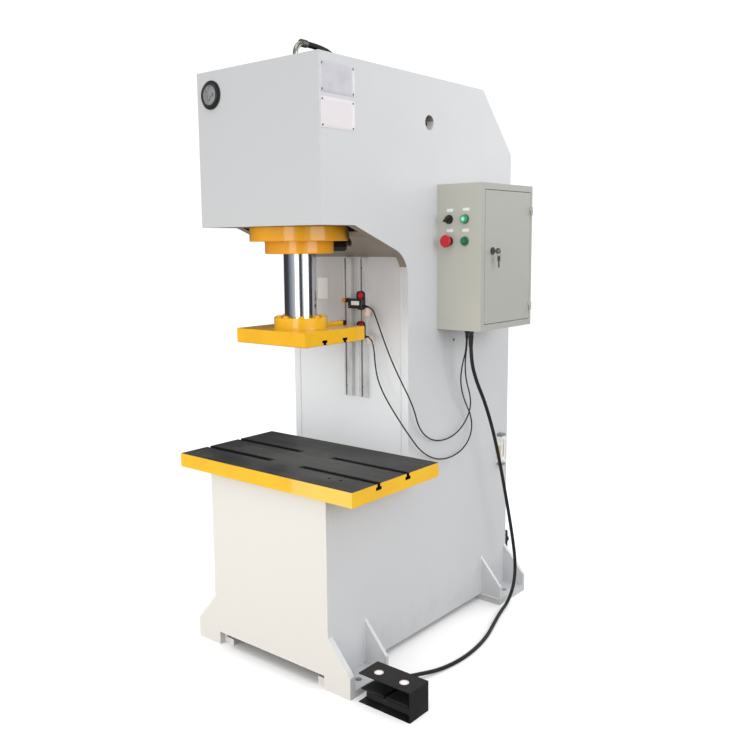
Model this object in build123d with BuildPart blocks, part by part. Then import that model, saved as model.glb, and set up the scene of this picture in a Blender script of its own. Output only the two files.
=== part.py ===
"""C-frame hydraulic press: welded plate frame, hydraulic ram, table, controls and foot pedal.

Millimetres, +Z up. The front faces -Y and the control box hangs on the +X side. The origin is on
the floor, at the centre of the four anchor holes.
"""
import math
import os

from build123d import *

os.makedirs("parts", exist_ok=True)

LOW = (Align.CENTER, Align.CENTER, Align.MIN)
CORNER = (Align.MIN, Align.MIN, Align.MIN)

# Anchor holes in the four feet
anchor_spacing_x = 596.0
anchor_spacing_y = 850.0
anchor_setback = 80.0
anchor_hole_radius = 11.0

# Frame: two C-shaped side plates with plates welded between and over them
frame_width = 500.0
side_thickness = 28.0
head_front_thickness = 16.0
base_front_thickness = 20.0
rear_thickness = 14.0
top_thickness = 12.0
throat_thickness = 16.0
frame_depth = 1020.0
head_top = 1828.0
head_bottom = 1367.0
top_flat_end = 828.0
rear_shoulder = 1626.0
side_bottom = 21.4
column_setback = 397.6
slant_start = 143.0
slant_end = 1271.5
throat_radius = 93.0
head_bottom_thickness = 40.0
head_bottom_end = 345.0
top_opening_end = 500.0
lifting_hole_radius = 23.0
lifting_hole_setback = 512.4
lifting_hole_height = 1688.5

# Feet
flare_top = 165.0
flare_low = 67.5
flare_out = 85.0
foot_inner = 233.0
foot_notch = 44.0
foot_pad_inner = 190.0
front_gusset_setback = 168.0
rear_gusset_setback = 840.0
gusset_thickness = 12.0

# Access opening in the rear plate, and its louvred cover
access_width = 340.0
access_low = 700.0
access_high = 1540.0
access_corner = 20.0
cover_width = 488.0
cover_low = 574.0
cover_high = 1604.0
cover_depth = 11.0
cover_sheet = 2.0
louvre_length = 150.0
louvre_pitch = 42.0
louvre_rows = 6
louvre_radius = 9.0
louvre_center_x = 105.0

# Table
table_top = 635.5
table_thickness = 44.6
table_width = 742.0
table_depth = 417.9
table_overhang = 24.5
table_slot_setbacks = (94.5, 233.5)
table_slot_neck = 14.0
table_slot_head = 26.0
table_slot_neck_depth = 9.0
table_slot_depth = 19.0
table_slot_gap = 152.0
table_hole_radius = 6.0
table_hole_depth = 28.0
table_hole_setback = 52.0
table_hole_x = (220.0, 262.0)

# Hydraulic cylinder, on one vertical axis in the head
cylinder_setback = 173.4
bore_radius = 80.0
barrel_radius = 106.2
barrel_fit = 0.3
barrel_collar_radius = 138.0
barrel_collar_height = 34.0
barrel_top = 1748.0
cap_thickness = 44.0
lock_ring_radius = 152.5
lock_ring_height = 44.0
gland_height = 37.7
running_clearance = 0.05
port_radius = 10.0
port_angle = 60.0

# Ram: rod, piston, flange and platen, drawn part way down its stroke
rod_radius = 50.1
rod_stub_radius = 30.0
piston_height = 50.0
stroke_down = 170.0
piston_margin = 6.0
ram_flange_radius = 83.4
ram_flange_height = 33.0
platen_top = 1057.6
platen_thickness = 44.0
platen_width = 290.0
platen_depth = 272.3
platen_setback = 36.9
platen_slot_setbacks = (123.7, 215.3)
platen_slot_neck = 12.0
platen_slot_head = 22.0
platen_slot_neck_depth = 8.0
platen_slot_depth = 16.0
flange_screw_count = 8
flange_screw_head_radius = 9.0
flange_screw_head_height = 9.0
flange_screw_radius = 6.0
flange_screw_depth = 24.0

# Striker bar on the platen, and the two slotted rails with the end-of-stroke sensors
striker_x = 25.0
striker_width = 20.0
striker_thickness = 10.0
striker_start = 262.0
striker_end = 350.0
rail_depth = 14.6
rail_low = 811.0
rail_high = 1268.0
rail_width = 32.0
rail_slot = 7.0
rail_slot_depth = 10.0
rail_undercut = 14.0
rail_lip = 3.0
left_rail_x = 12.0
left_slot_x = 4.0
right_rail_x = 74.0
right_slot_x = 72.0
switch_width = 60.0
switch_height = 31.0
switch_depth = 15.0
switch_left = 28.0
switch_heights = (1121.0, 1023.0)
sensor_x = 19.0
sensor_radius = 7.0
sensor_gap = 3.0
bracket_sheet = 3.0
knob_rise = 26.0
knob_radius = 9.5
knob_depth = 11.0
knob_stud_radius = 3.0

# Pressure gauge in the head front
gauge_x = -187.0
gauge_height = 1758.5
gauge_flange_radius = 42.0
gauge_rim_radius = 36.0
gauge_rim_depth = 11.0
gauge_window_radius = 29.0
gauge_body_radius = 33.0
gauge_body_depth = 26.0
gauge_glass_thickness = 2.0
gauge_dial_depth = 6.0

# Control box on the right side plate
box_depth = 167.0
box_setback = 556.7
box_length = 322.4
box_low = 1033.7
box_high = 1499.5
box_sheet = 2.0
box_rim = 20.0
box_rear_rim = 12.0
box_lip = 14.0
door_gap = 2.0
hinge_radius = 4.0
hinge_pin_radius = 2.2
hinge_length = 27.0
hinge_heights = (1098.0, 1418.0)
lock_inset = 66.3
lock_height = 1287.0
lock_radius = 9.0
lock_head_radius = 12.0

# Push buttons, lamp and selector on the front side of the control box
control_columns = (296.0, 356.0)
control_rows = (1319.0, 1388.0)
bezel_radius = 15.0
bezel_height = 5.0
control_hole_radius = 11.0
control_body_depth = 40.0

# Foot pedal with its sheet guard, and its two treadles
pedal_left = 357.0
pedal_width = 184.0
pedal_setback = 12.0
pedal_depth = 88.0
pedal_height = 90.0
pedal_sheet = 2.5
treadle_gap = 6.0
treadle_thickness = 5.0
treadle_length = 64.0
treadle_axle_radius = 3.0
treadle_axle_height = 32.0

# Oil tank, motor and valves inside the column
tank_setback = 640.0
tank_low = 120.0
tank_high = 620.0
tank_wall = 5.0
tank_side_gap = 10.0
motor_radius = 85.0
motor_height = 250.0
bell_radius = 70.0
bell_height = 80.0
shaft_radius = 12.0
shelf_height = 1385.0
shelf_thickness = 10.0
shelf_depth = 260.0

# Oil sight gauge on the right side plate
sight_inset = 58.0
sight_bolt_heights = (510.0, 592.0)
sight_bolt_radius = 5.0
sight_width = 28.0
sight_depth = 20.0
sight_overhang = 20.0

# Cables, hoses and the glands under the control box
gland_wall = 3.0
gland_length = 20.0
gland_body_share = 0.6
gland_nut_height = 8.0
switch_cable_radius = 2.3
pedal_cable_radius = 6.0
hose_radius = 9.0

# Places worked out from the sizes above
front_y = -(anchor_spacing_y / 2 + anchor_setback)
half_width = frame_width / 2
inner_half = half_width - side_thickness
column_y = front_y + column_setback
rear_y = front_y + frame_depth
side_rear_y = rear_y - rear_thickness
sight_y = rear_y - sight_inset
table_bottom = table_top - table_thickness
axis_y = front_y + cylinder_setback
slope_drop = (head_top - rear_shoulder) / (frame_depth - top_flat_end)
slant_drop = (head_bottom - slant_end) / (column_setback - slant_start)
platen_bottom = platen_top - platen_thickness
platen_front_y = front_y + platen_setback
lock_ring_bottom = head_bottom - lock_ring_height
gland_bottom = lock_ring_bottom - gland_height
flange_top = platen_top + ram_flange_height
piston_bottom = lock_ring_bottom + stroke_down + piston_margin
piston_top = piston_bottom + piston_height
box_x = half_width + box_depth
box_front_y = front_y + box_setback
box_rear_y = box_front_y + box_length
rail_front_y = column_y - rail_depth


def flared_outline(top):
    """Outline of a base plate whose two feet flare out past the sides, down to the floor."""
    out_x = half_width + flare_out
    right = [
        (half_width, top),
        (half_width, flare_top),
        (out_x, flare_low),
        (out_x, 0),
        (foot_inner, 0),
        (foot_inner, foot_notch),
    ]
    left = [(-x, z) for x, z in reversed(right)]
    return right + left


# Side plates: C-shaped, with a round throat corner and a hole for a lifting bar
def side_plate(x):
    outline = [
        (front_y + base_front_thickness, side_bottom),
        (front_y + base_front_thickness, table_bottom),
        (column_y, table_bottom),
        (column_y, slant_end),
        (front_y + slant_start, head_bottom),
        (front_y + head_front_thickness, head_bottom),
        (front_y + head_front_thickness, head_top),
        (front_y + top_flat_end, head_top),
        (side_rear_y, rear_shoulder + slope_drop * rear_thickness),
        (side_rear_y, side_bottom),
    ]
    with BuildPart() as plate:
        with BuildSketch(Plane.YZ.offset(x)) as profile:
            with BuildLine():
                Polyline(*outline, close=True)
            make_face()
            throat_corner = profile.vertices().sort_by_distance((column_y, slant_end))[0]
            fillet(throat_corner, throat_radius)
            with Locations((front_y + lifting_hole_setback, lifting_hole_height)):
                Circle(lifting_hole_radius, mode=Mode.SUBTRACT)
            if x > 0:
                with Locations(*[(sight_y, z) for z in sight_bolt_heights]):
                    Circle(sight_bolt_radius + 0.5, mode=Mode.SUBTRACT)
        extrude(amount=side_thickness)
    return plate


side_plate_left = side_plate(-half_width)
side_plate_left.part.label = "side_plate_left"
export_step(side_plate_left.part, "parts/side_plate_left.step")

side_plate_right = side_plate(inner_half)
side_plate_right.part.label = "side_plate_right"
export_step(side_plate_right.part, "parts/side_plate_right.step")

# Head front plate, laid over the side plates' front edges, with the gauge hole
with BuildPart() as head_front_plate:
    with BuildSketch(Plane.XZ.offset(-(front_y + head_front_thickness))):
        with Locations((0, (head_top + head_bottom) / 2)):
            Rectangle(frame_width, head_top - head_bottom)
        with Locations((gauge_x, gauge_height)):
            Circle(gauge_body_radius + 0.5, mode=Mode.SUBTRACT)
    extrude(amount=head_front_thickness)
head_front_plate.part.label = "head_front_plate"
export_step(head_front_plate.part, "parts/head_front_plate.step")

# Head bottom plate, which carries the cylinder in its bore
head_plate_depth = head_bottom_end - head_front_thickness
with BuildPart() as head_bottom_plate:
    with BuildSketch(Plane.XY.offset(head_bottom)):
        with Locations((0, front_y + head_front_thickness + head_plate_depth / 2)):
            Rectangle(2 * inner_half, head_plate_depth)
        with Locations((0, axis_y)):
            Circle(barrel_radius + barrel_fit, mode=Mode.SUBTRACT)
    extrude(amount=head_bottom_thickness)
head_bottom_plate.part.label = "head_bottom_plate"
export_step(head_bottom_plate.part, "parts/head_bottom_plate.step")

# Throat plate: the column's front and the slant under the head, relieved round the lock ring
slant_angle = math.atan(slant_drop)
slant_back = throat_thickness / math.cos(slant_angle)
slant_top_y = front_y + slant_start + slant_back / slant_drop
port_dx = math.cos(math.radians(port_angle))
port_dy = math.sin(math.radians(port_angle))
port_z = lock_ring_bottom - gland_height / 2
port_exit_y = front_y + slant_start + (head_bottom - port_z) / slant_drop
port_reach = (port_exit_y - axis_y) / port_dy
with BuildPart() as throat_plate:
    with BuildSketch(Plane.YZ.offset(-inner_half)):
        with BuildLine():
            Polyline(
                (front_y + slant_start, head_bottom),
                (slant_top_y, head_bottom),
                (
                    column_y + throat_thickness,
                    slant_end + slant_back - slant_drop * throat_thickness,
                ),
                (column_y + throat_thickness, table_bottom),
                (column_y, table_bottom),
                (column_y, slant_end),
                close=True,
            )
        make_face()
    extrude(amount=2 * inner_half)
    with BuildSketch(Plane.XY.offset(slant_end)):
        with Locations((0, axis_y)):
            Circle(lock_ring_radius + 6)
    extrude(amount=head_bottom - slant_end, mode=Mode.SUBTRACT)
    with Locations(Plane((port_reach * port_dx, port_exit_y, port_z), z_dir=(port_dx, port_dy, 0))):
        Cylinder(port_radius + 7, 240, mode=Mode.SUBTRACT)
throat_plate.part.label = "throat_plate"
export_step(throat_plate.part, "parts/throat_plate.step")

# Top plate: level over the head's rear, then bent down the slope to the rear plate
slope_end_z = rear_shoulder + slope_drop * rear_thickness
slope_angle = math.atan(slope_drop)
slope_under = top_thickness / math.cos(slope_angle)
bend_shift = top_thickness * math.tan(slope_angle / 2)
with BuildPart() as top_plate:
    with BuildSketch(Plane.YZ.offset(-inner_half)):
        with BuildLine():
            Polyline(
                (front_y + top_opening_end, head_top),
                (front_y + top_flat_end, head_top),
                (side_rear_y, slope_end_z),
                (side_rear_y, slope_end_z - slope_under),
                (front_y + top_flat_end - bend_shift, head_top - top_thickness),
                (front_y + top_opening_end, head_top - top_thickness),
                close=True,
            )
        make_face()
    extrude(amount=2 * inner_half)
top_plate.part.label = "top_plate"
export_step(top_plate.part, "parts/top_plate.step")

# Rear plate with flared feet and the access opening, its top edge cut to the slope
with BuildPart() as rear_plate:
    with BuildSketch(Plane.XZ.offset(-rear_y)):
        with BuildLine():
            Polyline(*flared_outline(slope_end_z), close=True)
        make_face()
        with Locations((0, (access_low + access_high) / 2)):
            RectangleRounded(access_width, access_high - access_low, access_corner, mode=Mode.SUBTRACT)
    extrude(amount=rear_thickness)
    with BuildSketch(Plane.YZ.offset(-half_width)):
        with BuildLine():
            Polyline(
                (side_rear_y, slope_end_z),
                (rear_y, slope_end_z),
                (rear_y, rear_shoulder),
                close=True,
            )
        make_face()
    extrude(amount=frame_width, mode=Mode.SUBTRACT)
rear_plate.part.label = "rear_plate"
export_step(rear_plate.part, "parts/rear_plate.step")

# Base front plate with flared feet
with BuildPart() as base_front_plate:
    with BuildSketch(Plane.XZ.offset(-(front_y + base_front_thickness))):
        with BuildLine():
            Polyline(*flared_outline(table_bottom), close=True)
        make_face()
    extrude(amount=base_front_thickness)
base_front_plate.part.label = "base_front_plate"
export_step(base_front_plate.part, "parts/base_front_plate.step")

# Base top plate under the table
base_top_depth = column_setback - base_front_thickness
with BuildPart() as base_top_plate:
    with Locations((-inner_half, front_y + base_front_thickness, table_bottom - base_front_thickness)):
        Box(2 * inner_half, base_top_depth, base_front_thickness, align=CORNER)
base_top_plate.part.label = "base_top_plate"
export_step(base_top_plate.part, "parts/base_top_plate.step")

# Four feet: a drilled pad and a gusset each, welded inside the flares
with BuildPart() as foot_brackets:
    pad_length = front_gusset_setback + gusset_thickness - base_front_thickness
    rear_pad_length = frame_depth - rear_thickness - rear_gusset_setback
    pad_width = half_width + flare_out - foot_pad_inner
    pads = (
        (front_y + base_front_thickness, pad_length, front_y + front_gusset_setback),
        (front_y + rear_gusset_setback, rear_pad_length, front_y + rear_gusset_setback),
    )
    for pad_y, length, gusset_y in pads:
        with BuildSketch(Plane.XY):
            for side in (-1, 1):
                with Locations((side * (foot_pad_inner + pad_width / 2), pad_y + length / 2)):
                    Rectangle(pad_width, length)
        extrude(amount=side_bottom)
        with BuildSketch(Plane.XZ.offset(-(gusset_y + gusset_thickness))):
            for side in (-1, 1):
                with BuildLine():
                    Polyline(
                        (side * half_width, flare_top),
                        (side * (half_width + flare_out), flare_low),
                        (side * (half_width + flare_out), side_bottom),
                        (side * half_width, side_bottom),
                        close=True,
                    )
                make_face()
        extrude(amount=gusset_thickness)
    with BuildSketch(Plane.XY):
        with GridLocations(anchor_spacing_x, anchor_spacing_y, 2, 2):
            Circle(anchor_hole_radius)
    extrude(amount=side_bottom, mode=Mode.SUBTRACT)
foot_brackets.part.label = "foot_brackets"
export_step(foot_brackets.part, "parts/foot_brackets.step")

# Rear cover: a shallow folded pan with two columns of pressed louvres, open below
cover_height = cover_high - cover_low
louvre_bank = (louvre_rows - 1) * louvre_pitch
louvre_starts = (access_low + 60, access_high - 60 - louvre_bank)
louvre_heights = [start + row * louvre_pitch for start in louvre_starts for row in range(louvre_rows)]
louvre_places = [
    (side * louvre_center_x, rear_y + cover_depth, z) for z in louvre_heights for side in (-1, 1)
]
with BuildPart() as rear_cover:
    with Locations((-cover_width / 2, rear_y, cover_low)):
        Box(cover_width, cover_depth, cover_height, align=CORNER)
    with Locations(*[Plane(place, z_dir=(1, 0, 0)) for place in louvre_places]):
        Cylinder(louvre_radius, louvre_length)
    with Locations(*[Plane(place, z_dir=(1, 0, 0)) for place in louvre_places]):
        Cylinder(louvre_radius - cover_sheet, louvre_length - 2 * cover_sheet, mode=Mode.SUBTRACT)
    with Locations(*[(x, y + cover_sheet / 2, z - louvre_radius) for x, y, z in louvre_places]):
        Box(louvre_length, 2 * louvre_radius - cover_sheet, louvre_radius, align=LOW, mode=Mode.SUBTRACT)
    with Locations((-cover_width / 2 + cover_sheet, rear_y - louvre_radius, cover_low + cover_sheet)):
        Box(
            cover_width - 2 * cover_sheet,
            cover_depth + louvre_radius - cover_sheet,
            cover_height - 2 * cover_sheet,
            align=CORNER,
            mode=Mode.SUBTRACT,
        )
rear_cover.part.label = "rear_cover"
export_step(rear_cover.part, "parts/rear_cover.step")

# Table: T-slots from both ends that stop short of the solid middle, and two tapped holes
with BuildPart() as table:
    with Locations((-table_width / 2, front_y - table_overhang, table_bottom)):
        Box(table_width, table_depth, table_thickness, align=CORNER)
    slot_run = (table_width - table_slot_gap) / 2
    for setback in table_slot_setbacks:
        for side in (-1, 1):
            slot_middle = side * (table_width / 2 + table_slot_gap / 2) / 2
            neck_z = table_top - table_slot_neck_depth
            with BuildSketch(Plane.XY.offset(neck_z)):
                with Locations((slot_middle, front_y + setback)):
                    Rectangle(slot_run, table_slot_neck)
            extrude(amount=table_slot_neck_depth, mode=Mode.SUBTRACT)
            with BuildSketch(Plane.XY.offset(table_top - table_slot_depth)):
                with Locations((slot_middle, front_y + setback)):
                    Rectangle(slot_run, table_slot_head)
                with Locations((side * table_slot_gap / 2, front_y + setback)):
                    Circle(table_slot_head / 2)
            extrude(amount=table_slot_depth - table_slot_neck_depth, mode=Mode.SUBTRACT)
    with BuildSketch(Plane.XY.offset(table_top - table_hole_depth)):
        with Locations(*[(x, front_y + table_hole_setback) for x in table_hole_x]):
            Circle(table_hole_radius)
    extrude(amount=table_hole_depth, mode=Mode.SUBTRACT)
table.part.label = "table"
export_step(table.part, "parts/table.step")

# Everything on the cylinder's axis is turned from a profile of (radius, height)
ram_axis = Axis((0, axis_y, 0), (0, 0, 1))
axis_plane = Plane(origin=(0, axis_y, 0), x_dir=(1, 0, 0), z_dir=(0, -1, 0))

# Cylinder barrel, collared above the head's bottom plate
collar_low = head_bottom + head_bottom_thickness
with BuildPart() as barrel:
    with BuildSketch(axis_plane):
        with BuildLine():
            Polyline(
                (bore_radius, lock_ring_bottom),
                (barrel_radius, lock_ring_bottom),
                (barrel_radius, collar_low),
                (barrel_collar_radius, collar_low),
                (barrel_collar_radius, collar_low + barrel_collar_height),
                (barrel_radius, collar_low + barrel_collar_height),
                (barrel_radius, barrel_top),
                (bore_radius, barrel_top),
                close=True,
            )
        make_face()
    revolve(axis=ram_axis)
barrel.part.label = "barrel"
export_step(barrel.part, "parts/barrel.step")

# Cylinder cap with a boss for the pressure line
boss_radius = 24.0
boss_height = 14.0
cap_top = barrel_top + cap_thickness
with BuildPart() as cylinder_cap:
    with BuildSketch(axis_plane):
        with BuildLine():
            Polyline(
                (hose_radius, barrel_top),
                (barrel_radius, barrel_top),
                (barrel_radius, cap_top - 4),
                (barrel_radius - 4, cap_top),
                (boss_radius, cap_top),
                (boss_radius, cap_top + boss_height),
                (hose_radius, cap_top + boss_height),
                close=True,
            )
        make_face()
    revolve(axis=ram_axis)
cylinder_cap.part.label = "cylinder_cap"
export_step(cylinder_cap.part, "parts/cylinder_cap.step")

# Lock ring under the head: a round nut with four spanner slots in its rim
spanner_slot_width = 14.0
spanner_slot_depth = 8.0
with BuildPart() as lock_ring:
    with BuildSketch(Plane.XY.offset(lock_ring_bottom)):
        with Locations((0, axis_y)):
            Circle(lock_ring_radius)
            Circle(barrel_radius + barrel_fit, mode=Mode.SUBTRACT)
    extrude(amount=lock_ring_height)
    outer_edges = lock_ring.edges().filter_by(GeomType.CIRCLE).filter_by(
        lambda edge: edge.radius > lock_ring_radius - 1
    )
    chamfer(outer_edges, 2)
    with BuildSketch(Plane.XY.offset(lock_ring_bottom)):
        with Locations((0, axis_y)):
            with PolarLocations(lock_ring_radius, 2, start_angle=100):
                Rectangle(2 * spanner_slot_depth, spanner_slot_width)
    extrude(amount=lock_ring_height, mode=Mode.SUBTRACT)
lock_ring.part.label = "lock_ring"
export_step(lock_ring.part, "parts/lock_ring.step")

# Rod gland under the barrel, with a groove for the wiper and a side port
port_plane = Plane((0, axis_y, port_z), z_dir=(port_dx, port_dy, 0))
with BuildPart() as gland:
    with BuildSketch(axis_plane):
        with BuildLine():
            Polyline(
                (rod_radius + running_clearance, gland_bottom + 8),
                (rod_radius + 6, gland_bottom + 8),
                (rod_radius + 6, gland_bottom),
                (barrel_radius - 3, gland_bottom),
                (barrel_radius, gland_bottom + 3),
                (barrel_radius, lock_ring_bottom),
                (rod_radius + running_clearance, lock_ring_bottom),
                close=True,
            )
        make_face()
    revolve(axis=ram_axis)
    with Locations(port_plane.offset(bore_radius)):
        Cylinder(port_radius, barrel_radius, align=LOW, mode=Mode.SUBTRACT)
gland.part.label = "gland"
export_step(gland.part, "parts/gland.step")

# Pressure elbow: a bent steel tube that rises from the cap and turns to the rear
elbow_rise = 108.0
elbow_run = 46.0
elbow_turn = 34.0
elbow_base = Vector(0, axis_y, cap_top + boss_height)
elbow_corner = elbow_base + Vector(0, 0, elbow_rise)
elbow_end = elbow_corner + Vector(0, elbow_run, 0)
with BuildPart() as pressure_elbow:
    with BuildLine() as elbow_path:
        FilletPolyline(elbow_base, elbow_corner, elbow_end, radius=elbow_turn)
    with BuildSketch(Plane(elbow_base)):
        Circle(hose_radius - 1)
    sweep(path=elbow_path.line)
    with BuildSketch(Plane(elbow_base)):
        RegularPolygon(hose_radius + 6, 6)
    extrude(amount=18)
    with BuildSketch(Plane(elbow_base)):
        Circle(hose_radius)
    extrude(amount=-boss_height - 20)
    with BuildSketch(Plane(elbow_end, z_dir=(0, 1, 0))):
        Circle(hose_radius + 2.5)
    extrude(amount=-24)
pressure_elbow.part.label = "pressure_elbow"
export_step(pressure_elbow.part, "parts/pressure_elbow.step")

# Piston rod, with a stub that carries the piston
with BuildPart() as rod:
    with BuildSketch(axis_plane):
        with BuildLine():
            Polyline(
                (0, platen_top),
                (rod_radius - 2, platen_top),
                (rod_radius, platen_top + 2),
                (rod_radius, piston_bottom),
                (rod_stub_radius, piston_bottom),
                (rod_stub_radius, piston_top),
                (0, piston_top),
                close=True,
            )
        make_face()
    revolve(axis=ram_axis)
rod.part.label = "rod"
export_step(rod.part, "parts/rod.step")

# Piston with two seal grooves
piston_radius = bore_radius - running_clearance
groove_depth = 4.0
groove_height = 8.0
with BuildPart() as piston:
    with BuildSketch(axis_plane):
        with Locations(((piston_radius + rod_stub_radius) / 2, (piston_bottom + piston_top) / 2)):
            Rectangle(piston_radius - rod_stub_radius, piston_height)
        for share in (0.3, 0.7):
            with Locations((piston_radius, piston_bottom + share * piston_height)):
                Rectangle(2 * groove_depth, groove_height, mode=Mode.SUBTRACT)
    revolve(axis=ram_axis)
piston.part.label = "piston"
export_step(piston.part, "parts/piston.step")

# Flange that bolts the rod to the platen
screw_circle = (ram_flange_radius + rod_radius) / 2
with BuildPart() as ram_flange:
    with BuildSketch(Plane.XY.offset(platen_top)):
        with Locations((0, axis_y)):
            Circle(ram_flange_radius)
            Circle(rod_radius, mode=Mode.SUBTRACT)
            with PolarLocations(screw_circle, flange_screw_count):
                Circle(flange_screw_radius, mode=Mode.SUBTRACT)
    extrude(amount=ram_flange_height)
    flange_edges = ram_flange.edges().filter_by(GeomType.CIRCLE).filter_by(
        lambda edge: edge.radius > ram_flange_radius - 1
    )
    chamfer(flange_edges.sort_by(Axis.Z)[-1], 2)
ram_flange.part.label = "ram_flange"
export_step(ram_flange.part, "parts/ram_flange.step")

# Socket screws of the flange
with BuildPart() as flange_screws:
    with BuildSketch(Plane.XY.offset(platen_top - flange_screw_depth)):
        with Locations((0, axis_y)):
            with PolarLocations(screw_circle, flange_screw_count):
                Circle(flange_screw_radius)
    extrude(amount=flange_screw_depth + ram_flange_height)
    with BuildSketch(Plane.XY.offset(flange_top)):
        with Locations((0, axis_y)):
            with PolarLocations(screw_circle, flange_screw_count):
                Circle(flange_screw_head_radius)
    extrude(amount=flange_screw_head_height)
    with BuildSketch(Plane.XY.offset(flange_top + flange_screw_head_height)):
        with Locations((0, axis_y)):
            with PolarLocations(screw_circle, flange_screw_count):
                RegularPolygon(flange_screw_radius * 0.95, 6)
    extrude(amount=-flange_screw_head_height * 0.6, mode=Mode.SUBTRACT)
flange_screws.part.label = "flange_screws"
export_step(flange_screws.part, "parts/flange_screws.step")

# Platen with two T-slots along its lower face
with BuildPart() as platen:
    with Locations((-platen_width / 2, platen_front_y, platen_bottom)):
        Box(platen_width, platen_depth, platen_thickness, align=CORNER)
    chamfer(platen.edges().group_by(Axis.Z)[0], 2)
    with BuildSketch(Plane.YZ.offset(-platen_width / 2)):
        for setback in platen_slot_setbacks:
            with Locations((front_y + setback, platen_bottom + platen_slot_neck_depth / 2)):
                Rectangle(platen_slot_neck, platen_slot_neck_depth)
            head_height = platen_slot_depth - platen_slot_neck_depth
            with Locations((front_y + setback, platen_bottom + platen_slot_neck_depth + head_height / 2)):
                Rectangle(platen_slot_head, head_height)
    extrude(amount=platen_width, mode=Mode.SUBTRACT)
    with BuildSketch(Plane.XY.offset(platen_top)):
        with Locations((0, axis_y)):
            with PolarLocations(screw_circle, flange_screw_count):
                Circle(flange_screw_radius)
    extrude(amount=-flange_screw_depth, mode=Mode.SUBTRACT)
platen.part.label = "platen"
export_step(platen.part, "parts/platen.step")

# Striker bar that reaches back from the platen to the sensors
with BuildPart() as striker:
    with BuildSketch(Plane.XY.offset(platen_top)):
        with BuildLine():
            Polyline(
                (striker_x - striker_width / 2, front_y + striker_start),
                (striker_x + striker_width / 2, front_y + striker_start),
                (striker_x + striker_width / 2, front_y + striker_end),
                (striker_x - striker_width / 2, front_y + striker_end),
                close=True,
            )
        make_face()
        fillet(vertices().group_by(Axis.Y)[0], 6)
    extrude(amount=striker_thickness)
    with Locations((striker_x, front_y + striker_end - 10, platen_top - 8)):
        Box(striker_width - 4, 20, 8, align=(Align.CENTER, Align.CENTER, Align.MIN))
striker.part.label = "striker"
export_step(striker.part, "parts/striker.step")

# Two slotted rails on the column's front
rail_length = rail_high - rail_low
with BuildPart() as switch_rails:
    for rail_x, slot_x in ((left_rail_x, left_slot_x), (right_rail_x, right_slot_x)):
        with BuildSketch(Plane.XY.offset(rail_low)):
            with Locations((rail_x, column_y - rail_depth / 2)):
                Rectangle(rail_width, rail_depth)
            with Locations((slot_x, rail_front_y + rail_slot_depth / 2)):
                Rectangle(rail_slot, rail_slot_depth, mode=Mode.SUBTRACT)
            undercut_depth = rail_slot_depth - rail_lip
            with Locations((slot_x, rail_front_y + rail_lip + undercut_depth / 2)):
                Rectangle(rail_undercut, undercut_depth, mode=Mode.SUBTRACT)
        extrude(amount=rail_length)
switch_rails.part.label = "switch_rails"
export_step(switch_rails.part, "parts/switch_rails.step")

# End-of-stroke sensors: a block body with a round sensing head that the striker passes
switch_right = switch_left + switch_width
sensor_y = front_y + striker_end + sensor_gap
switch_back_y = rail_front_y - bracket_sheet
switch_front_y = switch_back_y - switch_depth
sensor_rise = 10.0
gland_collar_radius = switch_cable_radius + 3
gland_collar_length = 8.0
switch_names = ("upper_switch", "lower_switch")


def end_switch(height):
    with BuildPart() as switch:
        with Locations((switch_left, switch_front_y, height - switch_height / 2)):
            Box(switch_width, switch_depth, switch_height, align=CORNER)
        fillet(switch.edges().filter_by(Axis.Z), 2.5)
        head_plane = Plane((sensor_x, sensor_y, height + sensor_rise), z_dir=(0, 1, 0))
        with BuildSketch(head_plane):
            Circle(sensor_radius)
        extrude(amount=switch_back_y - sensor_y)
        neck_width = switch_left - sensor_x + 4
        with Locations((sensor_x, switch_back_y - 6, height + sensor_rise - 5)):
            Box(neck_width, 6, 10, align=CORNER)
        outlet = Plane((switch_right, switch_back_y - switch_depth / 2, height - 8), z_dir=(1, 0, 0))
        with BuildSketch(outlet):
            Circle(gland_collar_radius)
        extrude(amount=gland_collar_length)
    return switch


for name, height in zip(switch_names, switch_heights):
    switch = end_switch(height)
    switch.part.label = name
    export_step(switch.part, f"parts/{name}.step")

# Angle brackets that hold the sensors against the right rail
bracket_shift = 8.0
bracket_flange = 22.0
bracket_width = switch_width - bracket_shift
bracket_middle = (switch_left + switch_right) / 2 + bracket_shift
bracket_right = bracket_middle + bracket_width / 2
with BuildPart() as switch_brackets:
    for height in switch_heights:
        knob_z = height + knob_rise
        switch_top = height + switch_height / 2 + 1
        low = height - switch_height / 2 - 6
        high = knob_z + knob_radius + 5
        with BuildSketch(Plane.XZ.offset(-rail_front_y)):
            with Locations((bracket_middle, (low + high) / 2)):
                Rectangle(bracket_width, high - low)
            with Locations((right_slot_x, knob_z)):
                Circle(knob_stud_radius + running_clearance, mode=Mode.SUBTRACT)
        extrude(amount=bracket_sheet)
        with Locations((bracket_right - bracket_sheet, rail_front_y - bracket_flange, switch_top)):
            Box(bracket_sheet, bracket_flange, high - switch_top, align=CORNER)
switch_brackets.part.label = "switch_brackets"
export_step(switch_brackets.part, "parts/switch_brackets.step")

# Clamp knobs whose studs reach into the right rail's slot
knob_names = ("upper_knob", "lower_knob")
knob_plane_y = rail_front_y - bracket_sheet - running_clearance
stud_length = bracket_sheet + rail_slot_depth - 3
for name, height in zip(knob_names, switch_heights):
    knob_plane = Plane((right_slot_x, knob_plane_y, height + knob_rise), z_dir=(0, -1, 0))
    with BuildPart() as knob:
        with BuildSketch(knob_plane):
            Circle(knob_radius)
            with PolarLocations(knob_radius + 1.2, 8):
                Circle(2.4, mode=Mode.SUBTRACT)
        extrude(amount=knob_depth)
        chamfer(knob.faces().sort_by(Axis.Y)[0].edges(), 1)
        with BuildSketch(knob_plane):
            Circle(knob_stud_radius)
        extrude(amount=-stud_length)
    knob.part.label = name
    export_step(knob.part, f"parts/{name}.step")

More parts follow.
